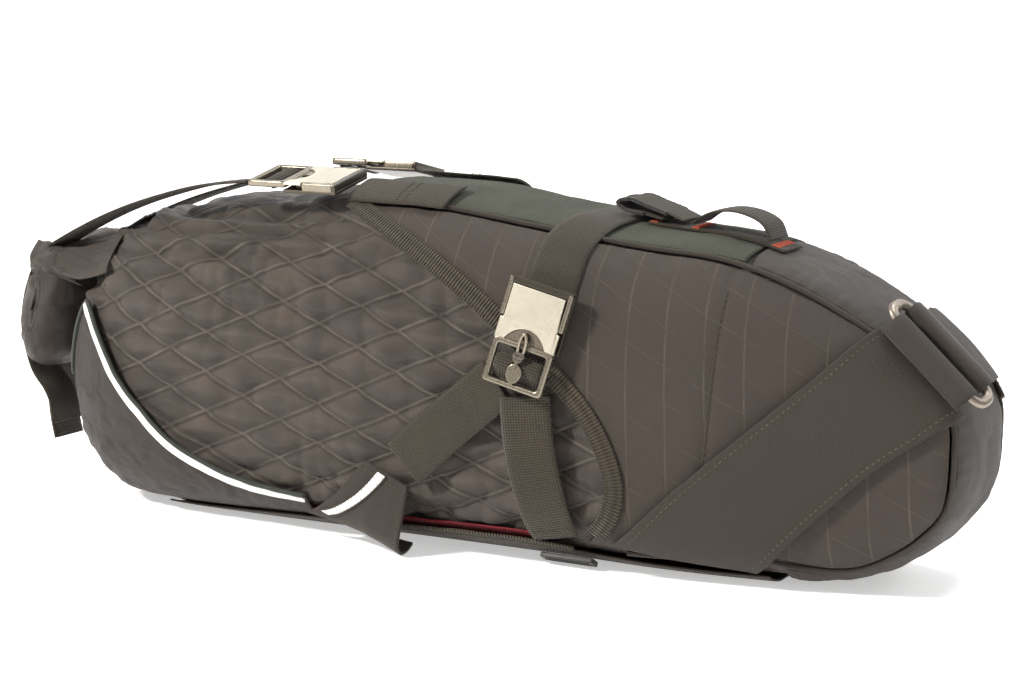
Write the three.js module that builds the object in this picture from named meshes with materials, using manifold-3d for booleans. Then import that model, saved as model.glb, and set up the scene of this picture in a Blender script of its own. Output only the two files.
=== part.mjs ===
// A bikepacking saddle bag of the holster kind: a sewn harness that stays on the bike, with a
// roll-top dry bag inside it. Millimetres. +X points to the nose (the seat post), +Z is up, and
// the origin is on the floor under the middle of the bag. The right side is -Y.
import * as THREE from 'three';
import { mergeVertices } from 'three/addons/utils/BufferGeometryUtils.js';
import Module from 'manifold-3d';

const wasm = await Module();
wasm.setup();

// ---------------------------------------------------------------- driving dimensions
const TAIL_X = -226; // rear end of the dry bag
const NOSE_X = 263; // front end of the bag
const MID_Z = 70; // height of the widest line
const HALF_W = 78.5; // half width in the middle
const TOP_Z = 172; // height of the filled bag
const NOSE_DROP = 24; // how much lower the top is at the nose
const NOSE_HALF_W = 40; // half width of the nose, at the seat post

const GAP = 0.4; // clearance between layers
const FABRIC = 1.2; // laminate panels
const LINING = 0.5;
const STIFFENER = 0.8;
const BASE = 1.0; // base panel
const WEB_T = 1.2; // webbing thickness
const WEB_W = 25; // narrow webbing
const POST_W = 50; // wide seat post strap
const BINDING_W = 9; // ribbed tape on the mouth
const MOUTH_X = -46; // rear edge of the top panel
const HINGE_X = -150; // fold line of the tail cup
const BUCKLE_W = 33; // slide buckle, across the strap
const BUCKLE_L = 30; // socket, along the strap
const SLIDER_END = 51; // far end of the plate's ladder, from the socket's closed end
const RING_L = 63.4; // seat post ring, outside
const RING_W = 18.6;
const RING_WIRE = 5.4;
const RING_CORNER = 5; // bend radius of its wire

// Layers, as distances out from the dry bag's skin.
const PANEL = [GAP, GAP + FABRIC];
const LINER = [GAP, GAP + LINING];
const PLATE = [LINER[1] + 0.3, LINER[1] + 0.3 + STIFFENER];
const APRON = [LINER[1] + 0.3, LINER[1] + 0.8];
const FILL = -2.2; // the filled dry bag stands in from its own skin, so that coarse panels clear it
const SOLE = [PLATE[1] + 0.3, PLATE[1] + 0.3 + BASE];
const STRAP = [PANEL[1] + GAP, PANEL[1] + GAP + WEB_T];
const STRAP_OVER = [STRAP[1] + GAP, STRAP[1] + GAP + WEB_T];
const BUCKLE = STRAP_OVER[1] + GAP;
const FLOOR = SOLE[1]; // the dry bag's underside stands this far above the floor

// ---------------------------------------------------------------- the filled shape
// Monotone cubic curve through stations [x, value].
function through(stations) {
  const n = stations.length;
  const slope = [];
  const tangent = [];
  for (let i = 0; i < n - 1; i++) {
    slope.push((stations[i + 1][1] - stations[i][1]) / (stations[i + 1][0] - stations[i][0]));
  }
  for (let i = 0; i < n; i++) {
    const a = slope[Math.max(0, i - 1)];
    const b = slope[Math.min(n - 2, i)];
    tangent.push(a * b <= 0 ? 0 : (2 * a * b) / (a + b));
  }
  return (x) => {
    let i = 0;
    while (i < n - 2 && x > stations[i + 1][0]) i++;
    const h = stations[i + 1][0] - stations[i][0];
    const t = Math.min(1, Math.max(0, (x - stations[i][0]) / h));
    const a = stations[i][1] * (1 + 2 * t) * (1 - t) ** 2 + h * tangent[i] * t * (1 - t) ** 2;
    return a + stations[i + 1][1] * t * t * (3 - 2 * t) - h * tangent[i + 1] * t * t * (1 - t);
  };
}

// 1 in the body and 0 at an end: a rounded end that starts at `from`.
function rounded(x, from, end, power) {
  const t = Math.min(1, Math.max(0, (x - from) / (end - from)));
  return (1 - t ** power) ** (1 / power);
}

const topLine = through([
  [TAIL_X, TOP_Z - 22], [HINGE_X, TOP_Z - 9], [-105, TOP_Z - 2], [-60, TOP_Z], [-15, TOP_Z],
  [60, TOP_Z - 8], [110, TOP_Z - 13], [NOSE_X - 100, TOP_Z - 16], [NOSE_X, TOP_Z - NOSE_DROP],
]);
const widthLine = through([
  [TAIL_X, HALF_W - 1], [-100, HALF_W], [55, HALF_W], [100, HALF_W - 3],
  [150, HALF_W - 11.5], [NOSE_X - 60, NOSE_HALF_W + 14], [NOSE_X, NOSE_HALF_W],
]);
const upperPower = through([[TAIL_X, 2.6], [-60, 2.9], [100, 3.0], [200, 4.0], [NOSE_X, 4.0]]);
const lowerPower = through([[TAIL_X, 2.8], [-130, 3.8], [60, 3.4], [150, 4.2], [NOSE_X, 4.0]]);

// Half sizes of the section at x.
function section(x) {
  const up = (topLine(x) - MID_Z) * rounded(x, HINGE_X, TAIL_X, 2.4) * rounded(x, 130, NOSE_X, 1.8);
  const flat = MID_Z - FLOOR + 0.8;
  const down = flat * rounded(x, HINGE_X - 20, TAIL_X, 2.0) * rounded(x, 185, NOSE_X, 2.2);
  const half = widthLine(x) * rounded(x, -120, TAIL_X, 2.4) * rounded(x, NOSE_X - 14, NOSE_X, 2.5);
  return { up, down, half, upper: upperPower(x), lower: lowerPower(x) };
}

// Point of the skin at x and angle: 0 is the keel, PI/2 the right side, PI the top, 3PI/2 the left.
function skin(x, angle) {
  const s = section(x);
  const c = Math.cos(angle);
  const w = Math.sin(angle);
  const power = c < 0 ? s.upper : s.lower;
  const y = -s.half * Math.sign(w) * Math.abs(w) ** (2 / power);
  const z = MID_Z + (c < 0 ? s.up : -s.down) * Math.abs(c) ** (2 / power);
  return new THREE.Vector3(x, y, z);
}

// The angle of a point near the skin.
function angleOf(p) {
  const s = section(p.x);
  const above = p.z > MID_Z;
  const power = above ? s.upper : s.lower;
  const c = (Math.abs(p.z - MID_Z) / (above ? s.up : s.down)) ** (power / 2);
  const w = (Math.abs(p.y) / s.half) ** (power / 2);
  const angle = Math.atan2(w, above ? -c : c);
  return p.y > 0 ? 2 * Math.PI - angle : angle;
}

// Below 0 inside the skin, above 0 outside it.
function field(p) {
  const s = section(THREE.MathUtils.clamp(p.x, TAIL_X + 0.5, NOSE_X - 0.5));
  const above = p.z > MID_Z;
  const power = above ? s.upper : s.lower;
  const across = Math.abs(p.y / s.half) ** power;
  return (across + Math.abs((p.z - MID_Z) / (above ? s.up : s.down)) ** power) ** (1 / power) - 1;
}

function normalAt(p) {
  const h = 0.25;
  const g = new THREE.Vector3();
  for (const axis of ['x', 'y', 'z']) {
    const a = p.clone();
    const b = p.clone();
    a[axis] += h;
    b[axis] -= h;
    g[axis] = (field(a) - field(b)) / (2 * h);
  }
  return g;
}

// Moves a point to the given distance out from the skin, without leaving the floor layer.
function settle(p, distance) {
  const q = p.clone();
  for (let i = 0; i < 12; i++) {
    const g = normalAt(q);
    q.addScaledVector(g, -field(q) / g.lengthSq());
  }
  return offset(q, distance);
}

function offset(q, distance) {
  const p = q.clone().addScaledVector(normalAt(q).normalize(), distance);
  p.z = Math.max(p.z, FLOOR - distance);
  return p;
}

// Point of the skin at height z on the right side.
function sideAt(x, z) {
  const s = section(x);
  const above = z > MID_Z;
  const power = above ? s.upper : s.lower;
  const rise = Math.min(1, Math.abs(z - MID_Z) / (above ? s.up : s.down));
  return new THREE.Vector3(x, -s.half * (1 - rise ** power) ** (1 / power), z);
}

// Point of the skin above (x, y).
function topAt(x, y) {
  const s = section(x);
  const across = Math.min(1, Math.abs(y) / s.half);
  return new THREE.Vector3(x, y, MID_Z + s.up * (1 - across ** s.upper) ** (1 / s.upper));
}

const mirror = (p) => new THREE.Vector3(p.x, -p.y, p.z);

// ---------------------------------------------------------------- solids from grids
function geometryOf(points, faces) {
  const g = new THREE.BufferGeometry();
  g.setAttribute('position', new THREE.Float32BufferAttribute(points.flatMap((p) => [p.x, p.y, p.z]), 3));
  g.setIndex(faces.flat());
  return g;
}

function volumeOf(points, faces) {
  let v = 0;
  for (const [a, b, c] of faces) {
    v += points[a].dot(new THREE.Vector3().crossVectors(points[b], points[c]));
  }
  return v / 6;
}

function closedGeometry(points, faces) {
  const out = volumeOf(points, faces) > 0 ? faces : faces.map(([a, b, c]) => [a, c, b]);
  return geometryOf(points, out);
}

// A sheet with an inner and an outer grid of points, closed round its rim.
function slab(inner, outer) {
  const rows = inner.length;
  const cols = inner[0].length;
  const points = [...inner.flat(), ...outer.flat()];
  const at = (i, j, side) => side * rows * cols + i * cols + j;
  const faces = [];
  const quad = (a, b, c, d) => faces.push([a, b, c], [a, c, d]);
  for (let i = 0; i < rows - 1; i++) {
    for (let j = 0; j < cols - 1; j++) {
      quad(at(i, j, 0), at(i, j + 1, 0), at(i + 1, j + 1, 0), at(i + 1, j, 0));
      quad(at(i, j, 1), at(i + 1, j, 1), at(i + 1, j + 1, 1), at(i, j + 1, 1));
    }
  }
  for (let i = 0; i < rows - 1; i++) {
    quad(at(i, 0, 0), at(i + 1, 0, 0), at(i + 1, 0, 1), at(i, 0, 1));
    quad(at(i, cols - 1, 1), at(i + 1, cols - 1, 1), at(i + 1, cols - 1, 0), at(i, cols - 1, 0));
  }
  for (let j = 0; j < cols - 1; j++) {
    quad(at(0, j, 1), at(0, j + 1, 1), at(0, j + 1, 0), at(0, j, 0));
    quad(at(rows - 1, j, 0), at(rows - 1, j + 1, 0), at(rows - 1, j + 1, 1), at(rows - 1, j, 1));
  }
  return closedGeometry(points, faces);
}

// A stack of closed rings, capped at both ends, or joined end to end.
function loft(rings, joined = false) {
  const n = rings[0].length;
  const points = rings.flat();
  const faces = [];
  const count = joined ? rings.length : rings.length - 1;
  for (let i = 0; i < count; i++) {
    const a = i * n;
    const b = ((i + 1) % rings.length) * n;
    for (let j = 0; j < n; j++) {
      const k = (j + 1) % n;
      faces.push([a + j, a + k, b + k], [a + j, b + k, b + j]);
    }
  }
  if (!joined) {
    for (const [start, flip] of [[0, true], [(rings.length - 1) * n, false]]) {
      const centre = new THREE.Vector3();
      for (let j = 0; j < n; j++) centre.addScaledVector(points[start + j], 1 / n);
      const c = points.push(centre) - 1;
      for (let j = 0; j < n; j++) {
        const k = (j + 1) % n;
        faces.push(flip ? [c, start + k, start + j] : [c, start + j, start + k]);
      }
    }
  }
  return closedGeometry(points, faces);
}

const steps = (n) => Array.from({ length: n + 1 }, (_, i) => i / n);

// A panel on the skin: map(u, v) gives a point of the skin.
function panel(map, nu, nv, [near, far]) {
  const grid = steps(nu).map((u) => steps(nv).map((v) => map(u, v)));
  const layer = (distance) => grid.map((row) => row.map((p) => offset(p, distance)));
  return slab(layer(near), layer(far));
}

function curveOf(points) {
  return new THREE.CatmullRomCurve3(points, false, 'centripetal');
}

// A strap that lies on the skin along a list of points.
function strapOn(points, width, layer, count, cuts = 2) {
  const curve = curveOf(points.map((p) => settle(p, 0)));
  const rows = steps(count).map((t) => {
    const centre = settle(curve.getPointAt(t), 0);
    const across = new THREE.Vector3().crossVectors(normalAt(centre).normalize(), curve.getTangentAt(t));
    across.normalize();
    return steps(cuts).map((k) => settle(centre.clone().addScaledVector(across, (k - 0.5) * width), 0));
  });
  const at = (distance) => rows.map((r) => r.map((p) => offset(p, distance)));
  return slab(at(layer[0]), at(layer[1]));
}

// A strap in the open: `side` is roughly the direction across it.
function strapFree(points, width, thickness, count, side, lift = 0) {
  const curve = curveOf(points);
  const inner = [];
  const outer = [];
  for (const t of steps(count)) {
    const centre = curve.getPointAt(t);
    const tangent = curve.getTangentAt(t);
    const across = side.clone().addScaledVector(tangent, -side.dot(tangent)).normalize();
    const up = new THREE.Vector3().crossVectors(tangent, across).normalize();
    const at = (k) => centre.clone().addScaledVector(across, k * width).addScaledVector(up, lift);
    const edge = [at(-0.5), at(0.5)];
    inner.push(edge);
    outer.push(edge.map((p) => p.clone().addScaledVector(up, thickness)));
  }
  return slab(inner, outer);
}

// A round bar along points.
function bar(points, radius, sides, count, closed = false) {
  const curve = new THREE.CatmullRomCurve3(points, closed, 'centripetal');
  const frames = curve.computeFrenetFrames(count, closed);
  const rings = [];
  for (let i = 0; i < (closed ? count : count + 1); i++) {
    const centre = curve.getPointAt(i / count);
    rings.push(steps(sides - 1).map((_, j) => {
      const a = (2 * Math.PI * j) / sides;
      return centre.clone()
        .addScaledVector(frames.normals[i], radius * Math.cos(a))
        .addScaledVector(frames.binormals[i], radius * Math.sin(a));
    }));
  }
  return loft(rings, closed);
}

function extrude(shape, depth) {
  return new THREE.ExtrudeGeometry(shape, { depth, bevelEnabled: false, curveSegments: 8 });
}

function rectangle(x0, y0, x1, y1, Type = THREE.Shape) {
  const s = new Type();
  s.moveTo(x0, y0);
  s.lineTo(x1, y0);
  s.lineTo(x1, y1);
  s.lineTo(x0, y1);
  s.closePath();
  return s;
}

function solidOf(geometry) {
  const g = geometry.clone();
  for (const name of ['normal', 'uv']) g.deleteAttribute(name);
  const merged = mergeVertices(g, 1e-4);
  const mesh = new wasm.Mesh({
    numProp: 3,
    vertProperties: new Float32Array(merged.attributes.position.array),
    triVerts: new Uint32Array(merged.index.array),
  });
  return new wasm.Manifold(mesh);
}

function geometryFrom(solid) {
  const mesh = solid.getMesh();
  const g = new THREE.BufferGeometry();
  g.setAttribute('position', new THREE.BufferAttribute(new Float32Array(mesh.vertProperties), 3));
  g.setIndex(new THREE.BufferAttribute(new Uint32Array(mesh.triVerts), 1));
  return g;
}

// ---------------------------------------------------------------- materials and nodes
const FINISH = {
  laminate: [0x4a4642, 0.62, 0],
  quilt: [0x504a46, 0.55, 0],
  green: [0x3c4a38, 0.9, 0],
  webbing: [0x4f4b40, 0.85, 0],
  tape: [0x45423a, 0.85, 0],
  reflective: [0xe8e8e2, 0.4, 0],
  lining: [0xa01424, 0.6, 0],
  plastic: [0x2a2a28, 0.5, 0],
  metal: [0x8f8b80, 0.35, 0.9],
};

const group = new THREE.Group();

function add(name, finish, geometry, frame) {
  const [color, roughness, metalness] = FINISH[finish];
  const mesh = new THREE.Mesh(geometry, new THREE.MeshStandardMaterial({ color, roughness, metalness }));
  mesh.name = name;
  if (frame) mesh.applyMatrix4(frame);
  group.add(mesh);
}

function flipped(geometry) {
  const g = geometry.clone().scale(1, -1, 1);
  const index = g.index.array;
  for (let i = 0; i < index.length; i += 3) [index[i + 1], index[i + 2]] = [index[i + 2], index[i + 1]];
  return g;
}

function pair(name, finish, geometry) {
  add(`${name}_right`, finish, geometry);
  add(`${name}_left`, finish, flipped(geometry));
}

// ---------------------------------------------------------------- seam lines
// The seam round the right side panel, seen from a point in the nose: half width by direction.
const SEAM_EYE = new THREE.Vector3(190, 0, MID_Z);
const seamWidth = through([
  [-150, HALF_W - 16.5], [-115, HALF_W - 21.5], [-90, HALF_W - 29.5], [-60, NOSE_HALF_W],
  [-10, NOSE_HALF_W - 3], [20, NOSE_HALF_W - 3], [60, NOSE_HALF_W - 1], [88, HALF_W - 36.5],
  [112, HALF_W - 34.5], [156, HALF_W - 33.5],
]);

// The skin at the given direction (degrees from +X, up) and y.
function rayPoint(degrees, y) {
  const a = THREE.MathUtils.degToRad(degrees);
  let low = 0;
  let high = 460;
  const at = (r) => new THREE.Vector3(SEAM_EYE.x + r * Math.cos(a), y, SEAM_EYE.z + r * Math.sin(a));
  for (let i = 0; i < 40; i++) {
    const mid = (low + high) / 2;
    const p = at(mid);
    const outside = p.x > NOSE_X - 0.5 || p.x < TAIL_X + 0.5 || field(p) > 0;
    if (outside) high = mid;
    else low = mid;
  }
  return at(low);
}

// Points along the seam, moved outwards from it by `apart`.
const seamPoint = (degrees, apart = 0) => rayPoint(degrees, -seamWidth(degrees) - apart);
const SEAM_R = 0.8; // piping
const SEAM_GAP = SEAM_R + 0.9; // from the piping's middle to each panel
const GUSSET_TOP = 112; // direction where the green panel ends
const GUSSET_END = -95; // direction where the base panel starts

// The slanted mouth of the harness, from the top edge down to the base, as [x, z].
const MOUTH = [
  [MOUTH_X, 163], [-24, 155], [8, 141], [35, 126], [56, 112], [79, 94], [95, 77], [105, 59],
  [109, 43], [106, 31], [99, 22], [91, 16],
];
const mouthCurve = curveOf(MOUTH.map(([x, z]) => sideAt(x, z)));

// ---------------------------------------------------------------- dry bag
function dryBagRings(distance, front, stations, around) {
  const rings = [];
  for (const t of steps(stations)) {
    const ease = t < 0.5 ? 0.5 * (2 * t) ** 1.8 : 1 - 0.5 * (2 - 2 * t) ** 1.6;
    const x = TAIL_X + 0.6 + (front - TAIL_X - 0.6) * ease;
    rings.push(steps(around - 1).map((_, j) => offset(skin(x, (2 * Math.PI * j) / around), distance)));
  }
  return rings;
}

function buildDryBag() {
  add('dry_bag', 'quilt', loft(dryBagRings(FILL, NOSE_X - 28, 30, 28)));
}

// The rolled mouth of the dry bag stands behind its tail end, wider than it is deep.
const ROLL_HALF = 54;

// Point of the roll's skin at the given y and angle: 0 faces the nose, PI/2 is its top.
function rollAt(y, angle, grow = 0) {
  const swell = (1 - Math.min(1, Math.abs(y) / ROLL_HALF) ** 3.2) ** (1 / 2.6) + 0.02;
  const deep = (20 * swell + grow) * Math.cos(angle);
  const high = (37 * swell ** 0.6 + grow) * Math.sin(angle);
  return new THREE.Vector3(-235 + deep + 0.2 * high, y, 99 + high);
}

function buildRoll() {
  const rings = steps(10).map((t) => {
    const y = ROLL_HALF * (2 * t - 1);
    return steps(17).map((_, j) => rollAt(y, (2 * Math.PI * j) / 18));
  });
  let roll = solidOf(loft(rings)).subtract(solidOf(loft(dryBagRings(GAP, NOSE_X - 28, 30, 28))));
  const groove = solidOf(strapFree(topStrapPoints(), WEB_W + 2 * GAP, GAP + 16, 40, acrossY, -GAP - 0.2));
  roll = roll.subtract(groove).subtract(groove.mirror([0, 1, 0]));
  add('roll_closure', 'quilt', geometryFrom(roll));
}

// ---------------------------------------------------------------- harness shell
function coons(bottom, top, left, right) {
  return (u, v) => {
    const mix = (a, b, t) => a + (b - a) * t;
    return [0, 1].map((k) => {
      const ruled = mix(bottom(u)[k], top(u)[k], v) + mix(left(v)[k], right(v)[k], u);
      const low = mix(bottom(0)[k], bottom(1)[k], u);
      return ruled - mix(low, mix(top(0)[k], top(1)[k], u), v);
    });
  };
}

const inner = (p) => [p.x, angleOf(p)];

function buildSidePanels() {
  const cornerTop = 62;
  const cornerLow = -62;
  const seamAt = (from, to) => (t) => inner(seamPoint(from + (to - from) * t, SEAM_GAP));
  const end = MOUTH[MOUTH.length - 1];
  const mouthLow = Math.atan2(end[1] - 6 - MID_Z, end[0] - SEAM_EYE.x) * (180 / Math.PI);
  const map = coons(
    seamAt(mouthLow, cornerLow),
    seamAt(155.5, cornerTop),
    (t) => inner(mouthCurve.getPointAt(1 - t)),
    seamAt(cornerLow, cornerTop),
  );
  const shrink = (t) => 0.004 + 0.992 * t;
  const geometry = panel((u, v) => skin(...map(shrink(u), shrink(v))), 24, 12, PANEL);
  pair('side_panel', 'laminate', geometry);
}

function buildTopPanel() {
  const map = (u, v) => {
    const x = MOUTH_X + 2 + (rayPoint(GUSSET_TOP, 0).x - 2 - MOUTH_X) * u;
    const a = Math.atan2(topAt(x, 0).z - MID_Z, x - SEAM_EYE.x) * (180 / Math.PI);
    const half = seamWidth(a) - SEAM_GAP;
    return topAt(x, -half + 2 * half * v);
  };
  add('top_panel', 'green', panel(map, 14, 6, PANEL));
}

function buildNoseGusset() {
  const map = (u, v) => {
    const degrees = GUSSET_TOP - 1 + (GUSSET_END - GUSSET_TOP + 1) * u;
    const half = seamWidth(degrees) - SEAM_GAP;
    return rayPoint(degrees, -half + 2 * half * v);
  };
  add('nose_gusset', 'laminate', panel(map, 26, 8, PANEL));
}

// Sheets under the bag share one grid, so that their layers stay parallel.
const SOLE_X0 = HINGE_X + 0.6;
const SOLE_X1 = 176;
const soleHalf = through([
  [HINGE_X, HALF_W - 26.5], [-60, HALF_W - 18.5], [60, HALF_W - 16.5], [90, HALF_W - 19.5],
  [130, HALF_W - 24.5], [SOLE_X1, HALF_W - 32.5],
]);
const SOLE_COLS = 12; // columns across the base panel
const SOLE_ROWS = 18; // rows along it

function soleEdge(x) {
  const s = section(x);
  const y = soleHalf(x);
  const drop = s.down * (1 - (y / s.half) ** s.lower) ** (1 / s.lower);
  return angleOf(new THREE.Vector3(x, -y, MID_Z - drop));
}

// A sheet that covers `cols` of the base panel's columns, and `rows` of its rows.
function underside(cols, rows, layer) {
  const map = (u, v) => {
    const x = SOLE_X0 + (SOLE_X1 - SOLE_X0) * u * (rows / SOLE_ROWS);
    return skin(x, soleEdge(x) * (2 * v - 1) * (cols / SOLE_COLS));
  };
  return panel(map, rows, cols, layer);
}

function buildBase() {
  add('base_panel', 'laminate', underside(SOLE_COLS, SOLE_ROWS, SOLE));
  add('base_stiffener', 'plastic', underside(8, 12, PLATE));
  add('base_lining', 'lining', underside(SOLE_COLS + 2, 12, LINER));
  const edge = steps(6).map((t) => {
    const x = -14 + 96 * t;
    return skin(x, soleEdge(x));
  });
  pair('base_binding', 'tape', strapOn(edge, 6, [SOLE[1] + 0.3, SOLE[1] + 1.1], 12));
}

function buildBindings() {
  const hem = mouthCurve.getPoints(20).slice(0, -1);
  pair('hem_binding', 'tape', strapOn(hem, BINDING_W, STRAP, 30));
  const seam = [];
  for (let a = 154; a >= -144; a -= 6) seam.push(offset(seamPoint(a), (PANEL[0] + PANEL[1]) / 2));
  pair('seam_piping', 'laminate', bar(seam, SEAM_R, 4, 64));
}

// ---------------------------------------------------------------- tail cup
// The cup's rim on the right side, from its peak behind to the base in front, as [x, z].
const RIM = [
  [-195, 104], [-187, 96], [-178, 84], [-168, 71], [HINGE_X, 55], [-133, 42], [-109, 31], [-86, 25],
  [-57, 22],
];
const TAIL_ANGLE = 1.35; // where the cup's edge crosses the tail end
const rimLine = through(RIM);

function rimAngle(x) {
  return angleOf(sideAt(x, rimLine(x)));
}

// Behind the side rim the cup is cut along a line that falls to the middle of the tail.
function cupEdgeAngle(x) {
  const sideX = RIM[0][0];
  if (x >= sideX) return rimAngle(x);
  const k = THREE.MathUtils.smoothstep(sideX - x, 0, sideX - TAIL_X);
  return rimAngle(sideX) * (1 - k) + TAIL_ANGLE * k;
}

function buildTailCup() {
  const from = TAIL_X + 1.5;
  const to = HINGE_X - 0.6;
  const map = (u, v) => {
    const x = from + (to - from) * u ** 1.6;
    const a = cupEdgeAngle(x);
    return skin(x, -a + 2 * a * v);
  };
  add('tail_cup', 'laminate', panel(map, 10, 22, [GAP, GAP + FABRIC]));
}

function buildAprons() {
  const map = (u, v) => {
    const x = HINGE_X + 0.6 + (RIM[RIM.length - 1][0] - HINGE_X) * u;
    const low = soleEdge(x) + 0.03;
    return skin(x, low + (rimAngle(x) - low) * v);
  };
  pair('cup_apron', 'laminate', panel(map, 10, 4, APRON));
}

function rimStrap(points) {
  return strapOn(points.map(([x, z]) => sideAt(x, z)), 5, STRAP, points.length * 2);
}

function buildRimPiping() {
  const split = RIM.findIndex(([x]) => x === HINGE_X);
  pair('rim_piping', 'reflective', rimStrap([...RIM.slice(0, split), [HINGE_X - 1, 55.8]]));
  pair('apron_piping', 'reflective', rimStrap([[HINGE_X + 1, 54], ...RIM.slice(split + 1)]));
}

// ---------------------------------------------------------------- straps
// The wing is a triangular gusset, folded to a U at its front and flat at its rear.
function buildWings() {
  // Each point is [distance outside HALF_W, z].
  const front = [[2.8, 34], [5.5, 22], [8.5, 11], [9, 5], [5.5, 1.6], [-1.5, 1.6], [-7.5, 4]];
  const rear = [[0, 30], [-0.5, 26], [-1.3, 22.5], [-2.3, 19.5], [-3.3, 17], [-4.3, 15], [-5.3, 13.2]];
  const fold = (rows) => {
    const curve = new THREE.CatmullRomCurve3(rows.map(([d, z]) => new THREE.Vector3(0, -HALF_W - d, z)));
    return (v) => curve.getPoint(v);
  };
  const a = fold(rear);
  const b = fold(front);
  const grid = steps(6).map((u) => steps(12).map((v) => {
    const p = a(v).lerp(b(v), u ** 0.9);
    const x = THREE.MathUtils.lerp(THREE.MathUtils.lerp(-21, -56, v), THREE.MathUtils.lerp(4, 2, v), u);
    return new THREE.Vector3(x, p.y, p.z + (1 - v) ** 2 * 14 * (1 - u));
  }));
  const thick = grid.map((row, i) => row.map((p, j) => {
    const along = grid[Math.min(i + 1, 6)][j].clone().sub(grid[Math.max(i - 1, 0)][j]);
    const down = row[Math.min(j + 1, 12)].clone().sub(row[Math.max(j - 1, 0)]);
    return p.clone().addScaledVector(down.cross(along).normalize(), FABRIC * 0.8);
  }));
  pair('wing', 'laminate', slab(grid, thick));
  const strap = [[1, 45], [17, 60], [35, 76], [50, 89]].map(([x, z]) => sideAt(x, z));
  pair('wing_strap', 'webbing', strapOn(strap, WEB_W, STRAP, 10));
}

const BUCKLE_SIDE = { x: 66, z: 109, lean: 13 };
const SIDE_FOOT = [78, 19];

function buildSideStraps() {
  const low = [[65, 84], [67, 66], [71, 46], [75, 30], SIDE_FOOT].map(([x, z]) => sideAt(x, z));
  pair('lower_strap', 'webbing', strapOn(low, WEB_W, STRAP_OVER, 12));
  const over = [];
  for (const [x, z] of [[70, 119], [71.5, 130], [72, 141]]) over.push(sideAt(x, z));
  for (const [x, y] of [[72, 18.5 - HALF_W], [73, -48], [76, -32], [79, -14]]) over.push(topAt(x, y));
  const far = over.map(mirror).reverse();
  add('cross_strap', 'webbing', strapOn([...over, ...far], WEB_W, STRAP, 40));
}

// ---------------------------------------------------------------- slide buckles
// Local axes: X across the strap, Y along it towards the ladder end, Z out.
const SHOULDER_Y = 20;
const RAIL_T = 2.2;
const SLIDER_T = 3.4;
const SOCKET_T = 1.6;
const HOLE_Y = 26;
const HEAD_L = 3.2; // cross wall at the closed end of the socket
const WALL_Z = SOCKET_T + SLIDER_T + 0.2; // top of the socket's walls
const LADDER_RIM = 2.6; // width of the ladder's outer bars
const WINDOWS = [[34.5, 41], [44.5, 48.4]]; // openings of the ladder, from and to along Y

function buckleSocket() {
  const half = BUCKLE_W / 2;
  const floor = extrude(rectangle(-half, 0, half, BUCKLE_L), SOCKET_T);
  const head = extrude(rectangle(-half, 0, half, HEAD_L), WALL_Z);
  let solid = solidOf(floor).add(solidOf(head));
  for (const x of [-half, half - RAIL_T]) {
    const rail = extrude(rectangle(x, 0, x + RAIL_T, SHOULDER_Y - 1), WALL_Z);
    solid = solid.add(solidOf(rail));
  }
  return geometryFrom(solid);
}

function buckleSlider() {
  const wide = BUCKLE_W / 2 - 1;
  const narrow = BUCKLE_W / 2 - RAIL_T - GAP;
  const s = new THREE.Shape();
  const outline = [
    [-narrow, HEAD_L + GAP], [narrow, HEAD_L + GAP], [narrow, SHOULDER_Y], [wide, SHOULDER_Y],
    [wide, SLIDER_END], [-wide, SLIDER_END], [-wide, SHOULDER_Y], [-narrow, SHOULDER_Y],
  ];
  outline.forEach(([x, y], i) => (i ? s.lineTo(x, y) : s.moveTo(x, y)));
  s.closePath();
  const bore = new THREE.Path();
  bore.absarc(0, HOLE_Y, 2, 0, 2 * Math.PI, true);
  s.holes.push(bore);
  for (const [from, to] of WINDOWS) {
    s.holes.push(rectangle(-wide + LADDER_RIM, from, wide - LADDER_RIM, to, THREE.Path));
  }
  const g = extrude(s, SLIDER_T);
  g.translate(0, 0, SOCKET_T + 0.35);
  return g;
}

function buckleTab() {
  const s = new THREE.Shape();
  s.moveTo(-1.6, HOLE_Y - 1.6);
  s.lineTo(1.6, HOLE_Y - 1.6);
  s.lineTo(1.6, HOLE_Y + 11);
  s.absarc(0, HOLE_Y + 15.4, 4.2, -1.2, Math.PI + 1.2, false);
  s.lineTo(-1.6, HOLE_Y + 11);
  s.closePath();
  const g = extrude(s, 1.6);
  g.translate(0, 0, SOCKET_T + SLIDER_T + 0.75);
  return g;
}

// Frame on the skin: origin, direction of the ladder end, and distance out.
function frameAt(point, along, distance) {
  return frameOf(point, along, normalAt(point).normalize(), distance);
}

function frameOf(point, along, z, distance) {
  const y = along.clone().addScaledVector(z, -along.dot(z)).normalize();
  const x = new THREE.Vector3().crossVectors(y, z);
  const m = new THREE.Matrix4().makeBasis(x, y, z);
  return m.setPosition(point.clone().addScaledVector(z, distance));
}

function buildBuckle(name, frame, tabbed) {
  add(`${name}_socket`, 'plastic', buckleSocket(), frame);
  add(`${name}_slider`, 'metal', buckleSlider(), frame);
  if (tabbed) add(`${name}_pull`, 'metal', buckleTab(), frame);
}

function sideFrame(sign) {
  const lean = THREE.MathUtils.degToRad(BUCKLE_SIDE.lean);
  const centre = sideAt(BUCKLE_SIDE.x, BUCKLE_SIDE.z);
  const along = new THREE.Vector3(-Math.sin(lean), 0, -Math.cos(lean));
  if (sign > 0) centre.y *= -1;
  return frameAt(centre, along, BUCKLE).multiply(new THREE.Matrix4().makeTranslation(0, -28, 0));
}

const TOP_BUCKLE = { x: -76, y: 40 };

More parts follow.
